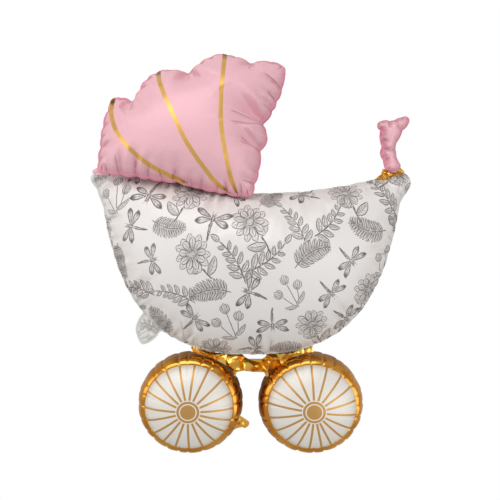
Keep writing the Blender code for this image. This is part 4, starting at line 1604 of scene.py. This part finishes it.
@dataclass
class Handle:
    """The small forked pink chamber, with a wide rolled weld on its left."""

    thickness: float = 0.046
    rim: float = 0.0026
    wide_rim: float = 0.0080
    foot_rise: float = 0.016     # how far its foot comes forward over the collar
    outline: tuple = (           # millimetres in the model's frame
        (340.0, 193.1), (348.0, 195.3), (351.6, 200.4), (358.9, 210.5), (355.7, 222.2), (351.6, 236.7),
        (349.9, 251.3), (350.5, 264.4), (357.5, 276.0), (364.0, 290.5), (366.2, 296.4), (376.4, 306.5),
        (382.9, 319.6), (382.2, 326.9), (375.6, 332.3), (366.2, 330.5), (354.5, 327.6), (344.4, 322.5),
        (334.2, 321.8), (325.5, 323.3), (316.7, 321.1), (308.7, 318.2), (304.4, 310.9), (305.8, 302.2),
        (310.9, 293.4), (310.2, 277.4), (314.1, 264.4), (314.5, 257.1), (310.9, 245.4), (313.1, 235.3),
        (316.7, 228.0), (318.2, 213.4), (318.2, 206.2), (326.2, 200.4), (334.2, 197.4),
    )
    notches: tuple = (
        ((0.322, 0.252), 0.001, 0.026, 0.0045, 0.6), ((0.346, 0.253), 0.001, 0.022, 0.0045, 0.6),
        ((0.334, 0.318), 0.002, 0.022, 0.004, 0.5), ((0.362, 0.300), 0.001, 0.020, 0.004, 0.5),
    )

    def rim_at(self, points: np.ndarray) -> np.ndarray:
        """Width of the weld, widest along the left side."""
        left = np.clip((0.338 - points[:, 0]) / 0.006, 0, 1) * np.clip((0.305 - points[:, 1]) / 0.01, 0, 1)
        left *= np.clip((points[:, 1] - 0.203) / 0.014, 0, 1)
        return self.rim + (self.wide_rim - self.rim) * left * (0.8 + 0.2 * np.sin(points[:, 1] * 260))

    def build(self, effects: Effects) -> bpy.types.Object:
        """Make, place and dress the handle."""
        rng = np.random.default_rng(7)
        outer = Outline(smooth_closed(np.array(self.outline) / MM_PER_M, 6)).evened(0.002)
        seam = Outline(outer.points - outer.normals() * self.rim_at(outer.points)[:, None])
        folds = even_puckers(seam, 0.015, 0.0010, 0.008, rng, self.notches)
        handle = Chamber("handle_film", seam, self.thickness, step=0.0032, rim=self.rim_at, flutter=0.5,
                         puckers=folds, seed=4, blow=Blow(frames=20, share=0.15)).build()
        places = places_of(handle.data)
        low = np.clip((0.236 - places[:, 1]) / 0.036, 0, 1)
        places[:, 2] += MIDDLE + self.foot_rise * low ** 2 * (3 - 2 * low)
        set_places(handle.data, places)
        handle.data.materials.append(PINK.material(effects))
        wear(handle, "pink_foil", "handle_balloon")
        return handle


@dataclass
class Wheel:
    """One drum wheel: two printed faces, two welded rims and a gold band of brick-like folds."""

    name: str
    node: str
    centre: tuple[float, float]
    spokes: tuple                # directions of the printed spokes, in degrees
    face: float = 0.212          # the seam's diameter along X
    squash: float = 0.948
    bulge: float = 0.021
    band: float = 0.110
    crown: float = 0.040
    rim_width: float = 0.0048
    rim_thickness: float = 0.0012
    hub: tuple[float, float] = (0.0012, -0.0045)     # the print's centre on the face
    folds: int = 24              # bricks round the band
    seed: int = 1

    FACE_GRID = (34, 360)        # rings and steps round the wheel
    RIM_STEPS = 480
    BAND_GRID = (44, 600)        # rows and steps round the wheel
    FOLD_SHARPNESS = 7           # power of the pull at the joints between bricks

    def build(self, effects: Effects) -> list[bpy.types.Object]:
        """Make, place and dress the wheel."""
        rng = np.random.default_rng(self.seed)
        self.joints = [np.sort((np.arange(self.folds) + rng.uniform(-0.22, 0.22, self.folds)) / self.folds)
                       for _ in range(2)]
        self.tilts = rng.uniform(-1.0, 1.0, (2, self.folds, 2))
        return [self.make_face(effects, 1), self.make_face(effects, -1), self.make_rim(effects, 1),
                self.make_rim(effects, -1), self.make_band(effects)]

    def brick(self, turn: np.ndarray, row: int) -> tuple[np.ndarray, np.ndarray]:
        """Which brick of a row each turn falls in, and where across it, from -1 to 1."""
        joints = self.joints[row]
        index = (np.searchsorted(joints, turn % 1.0) - 1) % self.folds
        start = joints[index]
        width = (joints[(index + 1) % self.folds] - start) % 1.0
        return index, 2.0 * ((turn - start) % 1.0) / width - 1.0

    def gather(self, turn: np.ndarray, row: int) -> np.ndarray:
        """How far the seam of a row's side is pulled in, 1 at each joint."""
        _, across = self.brick(turn, row)
        return np.abs(across) ** self.FOLD_SHARPNESS

    def place(self, places: np.ndarray) -> np.ndarray:
        """Move the wheel's own coordinates to its place, squashed along Y."""
        return places * (1, self.squash, 1) + (*self.centre, WHEEL_MIDDLE)

    def make_face(self, effects: Effects, side: int) -> bpy.types.Object:
        """One round face, with side 1 for the front."""
        rings, steps = self.FACE_GRID
        turn = np.arange(steps) / steps
        pull = self.gather(turn, 0 if side > 0 else 1)
        angle = 2 * math.pi * turn
        layers = [np.array(((0.0, 0.0, 0.5 * self.band + self.crown),))]
        for ring in range(1, rings + 1):
            share = (ring / rings) ** 0.8
            radius = 0.5 * self.face * share - 0.0016 * pull * share ** 8
            height = 0.5 * self.band + self.crown * (1 - share ** 2.2) ** 0.75
            height = height - 0.0045 * pull * share ** 6 * (1 - share) ** 0.35
            layers.append(np.column_stack((radius * np.cos(angle), radius * np.sin(angle), height)))
        places = np.vstack(layers)
        faces = fan(steps) + grid_faces(rings, steps, 1)
        flat = places[:, :2].copy()
        places[:, 2] *= side
        if side < 0:
            faces = [f[::-1] for f in faces]
        piece = mesh_object(f"{self.name}_face_{'front' if side > 0 else 'back'}", self.place(places), faces)
        piece.data.shade_smooth()
        put_values(piece.data, "film", np.column_stack((flat, np.zeros(len(flat)))))
        put_values(piece.data, "weld", 0.5 * self.face - np.hypot(flat[:, 0], flat[:, 1]))
        drawn = flat - self.hub
        put_values(piece.data, "hub", np.hypot(drawn[:, 0], drawn[:, 1]))
        put_values(piece.data, "spoke", self.spoke_gap(drawn))
        piece.data.materials.append(SpokedFilm(WHEEL_WHITE).material(effects))
        wear(piece, "white_foil", self.node)
        return piece

    def spoke_gap(self, flat: np.ndarray) -> np.ndarray:
        """Distance of each point to the middle line of the nearest spoke."""
        gap = np.full(len(flat), np.inf)
        for degrees in self.spokes:
            heading = np.array((math.cos(math.radians(degrees)), math.sin(math.radians(degrees))))
            along = flat @ heading
            off = np.abs(flat @ np.array((-heading[1], heading[0])))
            gap = np.minimum(gap, np.where(along > 0, off, np.inf))
        return gap

    def make_rim(self, effects: Effects, side: int) -> bpy.types.Object:
        """The welded gold rim round one face."""
        steps, row = self.RIM_STEPS, 0 if side > 0 else 1
        turn = np.arange(steps) / steps
        angle = 2 * math.pi * turn
        index, across = self.brick(turn, row)
        tilt = self.tilts[row, index, 0]
        pull = self.gather(turn, row)
        inner = 0.5 * self.face - 0.0028 - 0.0010 * pull
        outer = inner + self.rim_width - 0.0016 * pull
        height = 0.5 * self.band + 0.0012 + 0.0004 * tilt * across - 0.0006 * pull
        half = 0.5 * self.rim_thickness
        loops = [(inner, height + half + 0.0006), (0.5 * (inner + outer), height + half + 0.0007),
                 (outer, height + half), (outer, height - half), (inner, height - half - 0.002)]
        places = np.vstack([np.column_stack((r * np.cos(angle), r * np.sin(angle), side * z))
                            for r, z in loops])
        faces = grid_faces(len(loops), steps, 0)
        last = (len(loops) - 1) * steps
        faces += [(last + k, last + (k + 1) % steps, (k + 1) % steps, k) for k in range(steps)]
        if side < 0:
            faces = [f[::-1] for f in faces]
        piece = mesh_object(f"{self.name}_rim_{'front' if side > 0 else 'back'}", self.place(places), faces)
        piece.data.set_sharp_from_angle(angle=math.radians(40))
        film = np.vstack([np.column_stack((angle * 0.1, np.full(steps, 0.003 * k), np.zeros(steps)))
                          for k in range(len(loops))])
        return self.gild(piece, film, effects)

    def make_band(self, effects: Effects) -> bpy.types.Object:
        """The gold band between the two seams, in two rows of bricks."""
        rows, steps = self.BAND_GRID
        turn = np.arange(steps) / steps
        angle = 2 * math.pi * turn
        layers, film = [], []
        for line in range(rows + 1):
            share = 1.0 - 2 * line / rows
            row = 0 if share >= 0 else 1
            index, across = self.brick(turn, row)
            down = 2 * abs(share) - 1.0
            swell = (1 - np.abs(across) ** 4) * (1 - abs(down) ** 5)
            tilt = self.tilts[row, index]
            radius = (0.5 * self.face + self.bulge * (1 - share ** 2) ** 0.5 - 0.0012
                      + 0.0022 * swell + 0.0012 * tilt[:, 0] * across * (1 - abs(down) ** 6)
                      - 0.0014 * np.abs(across) ** 16)
            height = 0.5 * self.band * share + 0.001 * tilt[:, 1] * (1 - share ** 2)
            layers.append(np.column_stack((radius * np.cos(angle), radius * np.sin(angle), height)))
            film.append(np.column_stack((angle * 0.12, np.full(steps, share * 0.06), np.zeros(steps))))
        piece = mesh_object(f"{self.name}_band", self.place(np.vstack(layers)),
                            grid_faces(rows + 1, steps, 0))
        return self.gild(piece, np.vstack(film), effects)

    def gild(self, piece: bpy.types.Object, film: np.ndarray, effects: Effects) -> bpy.types.Object:
        """Dress a piece of the wheel in gold foil."""
        piece.data.shade_smooth()
        put_values(piece.data, "film", film)
        put_values(piece.data, "weld", np.full(len(film), 0.02))
        piece.data.materials.append(WHEEL_GOLD.material(effects))
        wear(piece, "gold_foil", self.node)
        return piece


def fan(steps: int) -> list[tuple[int, int, int]]:
    """Triangles from point 0 to the ring of points after it."""
    return [(0, 1 + k, 1 + (k + 1) % steps) for k in range(steps)]


def grid_faces(rings: int, steps: int, first: int) -> list[tuple[int, int, int, int]]:
    """Quads between closed rings of points that follow each other."""
    faces = []
    for ring in range(rings - 1):
        near, far = first + ring * steps, first + (ring + 1) * steps
        for k in range(steps):
            after = (k + 1) % steps
            faces.append((near + k, far + k, far + after, near + after))
    return faces


@dataclass
class CrushedFoil:
    """A flat bag of foil, crushed into facets between given folds."""

    name: str
    outline: tuple               # millimetres, counter-clockwise
    folds: tuple                 # x, y in millimetres and height in millimetres over the middle
    middle: float                # height of its middle plane
    nodes: tuple[str, ...] = ()
    slot: str = "gold_foil"
    finish: "MirrorGold | SatinFilm" = CRUSHED_GOLD
    thin: float = 0.0015         # half its thickness at the outline
    crush: float = 0.004         # height of the small folds between the given ones
    pitch: float = 0.009         # their distance
    clear: float = 0.012         # how far they stay from the given folds
    bulge: float = 0.0012        # how far a facet bows
    back: float = 0.8            # the back's height over the front's
    cuts: int = 5                # pieces along each facet's edge
    seed: int = 1

    def build(self, effects: Effects) -> bpy.types.Object:
        """Make and dress the crushed foil."""
        piece = self.crushed()
        piece.data.materials.append(self.finish.material(effects))
        wear(piece, self.slot, *self.nodes)
        return piece

    def crushed(self) -> bpy.types.Object:
        """Make the crushed mesh."""
        rng = np.random.default_rng(self.seed)
        ring = np.array(self.outline)[:, :2] / MM_PER_M
        count = len(ring)
        given = np.array(self.folds).reshape(-1, 3) / MM_PER_M
        extra = self.small_folds(Outline(ring), given, rng)
        spots = np.vstack((ring, given[:, :2], extra))
        heights = np.concatenate((np.full(count, self.thin), given[:, 2],
                                  self.thin + self.crush * rng.uniform(0.3, 2.2, len(extra))))
        made = delaunay_2d_cdt([Vector(p) for p in spots], [(k, (k + 1) % count) for k in range(count)],
                               [], 1, 1e-7)
        flat = np.array([tuple(v) for v in made[0]])
        origin = [ids[0] for ids in made[3]]
        heights = heights[origin]
        depths = np.where(np.array(origin) < count, self.thin,
                          self.back * heights * rng.uniform(0.6, 1.3, len(heights)))
        places, faces = [], []
        for sheet, level in ((1, heights), (-1, -depths)):
            for triangle in made[2]:
                corners = np.column_stack((flat[list(triangle)], level[list(triangle)]))
                self.add_facet(corners[::sheet], rng.uniform(-1.0, 1.4) * self.bulge * sheet, places, faces)
        piece = mesh_object(self.name, np.array(places) + (0, 0, self.middle), faces)
        self.close(piece)
        film = places_of(piece.data)
        put_values(piece.data, "film", film * (1, 1, 0.5))
        put_values(piece.data, "weld", np.full(len(film), 0.02))
        return piece

    def small_folds(self, ring: Outline, given: np.ndarray, rng: np.random.Generator) -> np.ndarray:
        """Jittered places inside the outline, clear of the given folds."""
        low, high = ring.points.min(axis=0), ring.points.max(axis=0)
        across, up = np.meshgrid(*(np.arange(low[axis], high[axis], self.pitch) for axis in (0, 1)))
        spots = np.column_stack((across.ravel(), up.ravel()))
        spots += rng.uniform(-0.4, 0.4, spots.shape) * self.pitch
        spots = spots[ring.inside(spots)]
        spots = spots[ring.nearest(spots)[0] > 0.25 * self.pitch]
        if len(given):
            gap = np.linalg.norm(spots[:, None] - given[None, :, :2], axis=2).min(axis=1)
            spots = spots[gap > self.clear]
        return spots

    def add_facet(self, corners: np.ndarray, bow: float, places: list, faces: list) -> None:
        """Cut one triangle into small ones and bow it."""
        start = len(places)
        index = {}
        for i in range(self.cuts + 1):
            for j in range(self.cuts + 1 - i):
                shares = np.array((i, j, self.cuts - i - j)) / self.cuts
                spot = shares @ corners
                spot[2] += 27 * bow * shares.prod()
                index[i, j] = start + len(index)
                places.append(tuple(spot))
        for i in range(self.cuts):
            for j in range(self.cuts - i):
                faces.append((index[i, j], index[i + 1, j], index[i, j + 1]))
                if i + j < self.cuts - 1:
                    faces.append((index[i + 1, j], index[i + 1, j + 1], index[i, j + 1]))

    def close(self, piece: bpy.types.Object) -> None:
        """Weld the facets together, close the edge between front and back, and keep creases sharp."""
        shell = bmesh.new()
        shell.from_mesh(piece.data)
        bmesh.ops.remove_doubles(shell, verts=shell.verts, dist=1e-6)
        open_edges = [edge for edge in shell.edges if edge.is_boundary]
        bmesh.ops.bridge_loops(shell, edges=open_edges)
        bmesh.ops.recalc_face_normals(shell, faces=shell.faces)
        shell.to_mesh(piece.data)
        shell.free()
        piece.data.shade_smooth()
        piece.data.set_sharp_from_angle(angle=math.radians(24))


@dataclass
class Chassis(CrushedFoil):
    """The crushed gold foil between the tub and the wheels."""

    name: str = "chassis_foil"
    nodes: tuple[str, ...] = ("chassis",)
    thin: float = 0.003
    crush: float = 0.003
    pitch: float = 0.011
    clear: float = 0.013
    bulge: float = 0.0016
    seed: int = 21
    middle: float = 0.122
    outline: tuple = (
        (-137.7, -235.8), (-106.3, -245.2), (-83.1, -253.7), (-57.3, -268.1), (-41.8, -281.4),
        (-39.1, -293.0), (-33.3, -295.4), (-32.4, -284.3), (-15.0, -280.5), (9.7, -283.9),
        (33.6, -284.3), (40.1, -296.3), (45.4, -291.8), (43.2, -281.7), (55.6, -276.6), (75.6, -268.1),
        (94.7, -249.3), (128.0, -240.4), (152.7, -235.8), (152.7, -222.5), (138.2, -221.0),
        (130.5, -224.3), (111.1, -229.6), (85.8, -236.6),
        (62.8, -239.3), (39.9, -239.3), (38.7, -246.9), (29.7, -252.9), (-3.6, -252.9), (-12.6, -248.1),
        (-20.5, -239.9), (-26.1, -240.8), (-55.6, -240.8), (-84.1, -237.2), (-111.1, -226.8),
        (-133.4, -214.9), (-143.5, -223.5),
    )
    folds: tuple = (
        (-83.4, -241.8, 9), (-27.5, -243.7, 16), (-38.2, -274.6, 20), (-22.7, -259.2, 3), (-15.9, -258.2, 17),
        (-3.6, -258.7, 15), (25.4, -261.6, 4), (-12.1, -276.3, 16), (25.4, -277.2, 5), (10, -267, 18),
        (29.5, -258.2, 15), (39.9, -253.7, 4), (54.4, -248.1, 20), (71.0, -251.7, 6), (42.3, -276.8, 19),
        (50.7, -259.7, 8), (62, -257, 17), (-60, -254, 4), (-50, -262, 14),
    )


@dataclass
class Collar(CrushedFoil):
    """The gathered gold foil round the handle's foot."""

    name: str = "handle_collar_foil"
    nodes: tuple[str, ...] = ("handle_collar",)
    crush: float = 0.003
    pitch: float = 0.006
    clear: float = 0.004
    cuts: int = 4
    seed: int = 33
    middle: float = 0.136
    outline: tuple = (
        (300.7, 181.4), (312.4, 178.1), (324.0, 178.5), (338.5, 185.8), (357.5, 190.2), (371.3, 192.8),
        (369.1, 200.3), (359.6, 209.1), (354.5, 204.5), (345.0, 203.0), (330.0, 205.0), (318.2, 205.4),
        (314.5, 193.1), (307.3, 187.3),
    )
    folds: tuple = (
        (308, 183.5, 8), (313, 190, 15), (318, 197, 6), (321, 188, 18), (326, 182, 9), (327, 195, 5),
        (345, 193, 5), (352, 197, 15), (358, 203, 7), (361, 195, 18), (366, 197, 9), (334, 188, 5),
        (340, 191, 9),
    )


@dataclass
class Tab:
    """A flat filling tab: thin welded film with a raised border."""

    name: str
    node: str
    slot: str
    outline: tuple               # millimetres, counter-clockwise
    middle: float
    border: float = 0.004        # width of its welded border
    puff: float = 0.0016         # height of the loose film inside the border
    curl: float = 0.003          # how far its free end bends
    step: float = 0.0016
    printed: bool = False
    seed: int = 1

    def build(self, finish: "MirrorGold | ClearFilm", effects: Effects) -> bpy.types.Object:
        """Make and dress the tab."""
        ring = Outline(smooth_closed(np.array(self.outline) / MM_PER_M, 6)).evened(0.002)
        chamber = Chamber(self.name, ring, 2 * self.puff, step=self.step * 1.5, rim=0.0006, weld=0.0008)
        rng = np.random.default_rng(self.seed)
        flat, faces, edge = chamber.pattern(ring, rng)
        gap = ring.nearest(flat)[0]
        share = np.clip((gap - self.border) / 0.004, 0.0, 1.0)
        waves = np.sin(flat[:, 0] * 310 + 2.0) * np.sin(flat[:, 1] * 240 + 1.0)
        puff = self.puff * share * (0.7 + 0.5 * waves) + 0.0005 * waves
        bend = self.curl * ((flat - flat[:edge].mean(axis=0)) @ np.array((0.8, -0.6)) / 0.03) ** 2 * 0.3
        front = np.column_stack((flat, bend + puff))
        back = np.column_stack((flat, bend - 0.6 * puff * share))
        piece = chamber.joined(front, back, flat, faces, edge, ring)
        places = places_of(piece.data)
        places[:, 2] += self.middle
        set_places(piece.data, places)
        if self.printed:
            art = Print(12)
            centre = flat[:edge].mean(axis=0)
            art.toss(Motif.SPRIG, 0, tuple(centre + (0.004, 0.006)), 70.0, 0.75, False)
            art.toss(Motif.BUDS, 1, tuple(centre + (-0.010, -0.012)), -60.0, 0.6, True)
            film = get_values(piece.data, "film")[:, :2].astype(float)
            art.transfer(piece.data, film / chamber.blow.slack)
        piece.data.materials.append(finish.material(effects))
        wear(piece, self.slot, self.node)
        return piece


@dataclass
class CornerFlap(CrushedFoil):
    """The crumpled end of the hood's weld that sticks out over the tub's left corner."""

    name: str = "hood_corner_flap"
    slot: str = "pink_foil"
    finish: "MirrorGold | SatinFilm" = SatinFilm("pink_flap_film", PINK.colour, PINK.weld_and_shade_colour,
                                                 folded=False)
    thin: float = 0.001
    crush: float = 0.002
    pitch: float = 0.007
    clear: float = 0.006
    cuts: int = 4
    seed: int = 5
    middle: float = 0.168
    outline: tuple = (
        (-368, 190), (-352, 186), (-336, 187), (-330, 196), (-338, 204), (-350, 206), (-361, 203),
        (-371, 197),
    )
    folds: tuple = ((-361, 195, 3), (-352, 199, 9), (-348, 191, 4), (-340, 197, 10), (-345, 203, 3))


TAIL = Tab("tub_filling_tail_film", "tub_filling_tail", "clear_film", (
    (-206.4, -181.1), (-216.0, -160.0), (-240.0, -141.0), (-254.9, -140.3), (-268.8, -159.5),
    (-273.6, -183.5), (-261.6, -212.3), (-246.0, -212.3), (-226.8, -199.1), (-216.0, -184.7),
), MIDDLE, printed=True, seed=8)
WHEEL_TAB = Tab("wheel_filling_tab_foil", "wheel_filling_tab", "gold_foil", (
    (-46.8, -434.5), (-34.5, -428.4), (-18.5, -424.7), (-13.5, -427.1), (-6.2, -423.4), (-1.7, -414.8),
    (-7.4, -408.7), (-16.0, -403.3), (-20.9, -400.1), (-34.5, -397.6),
), WHEEL_MIDDLE, border=0.0015, seed=9)
WHEELS = (
    Wheel("wheel_left", "wheel_balloon_left", (-0.14512, -0.3609),
          (102, 83, 65, 43, 22, 1, -16, -34, -53, -71, -90, -109, -127, -144, -164, 178, 156, 138, 120),
          seed=4),
    Wheel("wheel_right", "wheel_balloon_right", (0.14788, -0.3609),
          (92, 72, 51, 32, 12, -8, -29, -46, -64, -78, -95, -112, -129, -148, -168, 172, 153, 133, 113),
          seed=6),
)


# ---------------------------------------------------------------- studio

@dataclass
class Studio:
    """Camera, soft lights and the white floor."""

    camera_height: float = CAMERA_HEIGHT
    camera_y: float = CAMERA_Y
    focal_mm: float = 45.0
    sensor_mm: float = 36.0
    lamps: tuple = (             # name, place, target, size and power
        ("key", (-0.5, 1.5, 1.6), (0.0, 0.1, 0.1), (2.2, 1.2), 19.0),
        ("side", (-1.7, 0.0, 1.1), (0.0, 0.0, 0.1), (0.8, 1.8), 7.0),
        ("fill", (1.5, -0.5, 1.5), (0.0, 0.0, 0.1), (1.2, 1.8), 10.5),
    )
    air_colour: tuple[float, float, float] = (1.0, 0.99, 0.98)
    air_strength: float = 0.58
    floor_half: float = 6
    floor_height: float = -0.002
    floor_colour: tuple[float, float, float] = (0.70, 0.66, 0.62)

    def build(self) -> None:
        """Set up everything that isn't the object."""
        self.make_camera()
        self.make_lights()
        self.make_floor()

    def make_camera(self) -> None:
        """Look straight down, with +Y up in the picture."""
        lens = bpy.data.cameras.new("camera")
        lens.lens = self.focal_mm
        lens.sensor_width = self.sensor_mm
        camera = bpy.data.objects.new("camera", lens)
        camera.location = (0.0, self.camera_y, self.camera_height)
        bpy.context.scene.collection.objects.link(camera)
        bpy.context.scene.camera = camera

    def soft_box(self, name: str, place: tuple, target: tuple, size: tuple, power: float) -> None:
        """A rectangular lamp that faces a target."""
        lamp = bpy.data.lights.new(name, "AREA")
        lamp.shape = "RECTANGLE"
        lamp.size, lamp.size_y = size
        lamp.energy = power
        box = bpy.data.objects.new(name, lamp)
        box.location = place
        box.rotation_euler = (Vector(target) - Vector(place)).to_track_quat("-Z", "Y").to_euler()
        bpy.context.scene.collection.objects.link(box)

    def make_lights(self) -> None:
        """A large soft light from the picture's top, and weaker fills."""
        for lamp in self.lamps:
            self.soft_box(*lamp)
        world = bpy.data.worlds.new("studio")
        world.use_nodes = True
        background = world.node_tree.nodes["Background"]
        background.inputs["Color"].default_value = (*self.air_colour, 1.0)
        background.inputs["Strength"].default_value = self.air_strength
        bpy.context.scene.world = world
        bpy.context.scene.view_settings.view_transform = "Standard"

    def make_floor(self) -> None:
        """A white floor that reads as plain white from the camera."""
        corners = [(x * self.floor_half, y * self.floor_half, self.floor_height)
                   for x, y in ((-1, -1), (1, -1), (1, 1), (-1, 1))]
        floor = mesh_object("floor", np.array(corners), [(0, 1, 2, 3)])
        material = bpy.data.materials.new("floor_white")
        material.use_nodes = True
        tree = material.node_tree
        matt = tree.nodes["Principled BSDF"]
        matt.inputs["Base Color"].default_value = (*self.floor_colour, 1.0)
        matt.inputs["Roughness"].default_value = 0.9
        glow = tree.nodes.new("ShaderNodeEmission")
        glow.inputs["Strength"].default_value = 1.0
        path = tree.nodes.new("ShaderNodeLightPath")
        mix = tree.nodes.new("ShaderNodeMixShader")
        tree.links.new(path.outputs["Is Camera Ray"], mix.inputs[0])
        tree.links.new(matt.outputs[0], mix.inputs[1])
        tree.links.new(glow.outputs[0], mix.inputs[2])
        tree.links.new(mix.outputs[0], tree.nodes["Material Output"].inputs["Surface"])
        floor.data.materials.append(material)


def main() -> None:
    """Build the balloon piece by piece, then the studio."""
    logging.basicConfig(level=logging.INFO, format="%(name)s: %(message)s")
    Studio().build()
    effects = Effects()
    tub = Tub().build(effects)
    pieces = [tub, Hood().build(effects, tub), Handle().build(effects), CornerFlap().build(effects),
              Chassis().build(effects), Collar().build(effects),
              TAIL.build(ClearFilm("clear_tail_film"), effects), WHEEL_TAB.build(CRUSHED_GOLD, effects)]
    for wheel in WHEELS:
        pieces += wheel.build(effects)
    for piece in pieces:
        LOG.info("%s: %d faces", piece.name, len(piece.data.polygons))


if __name__ == "__main__":
    main()
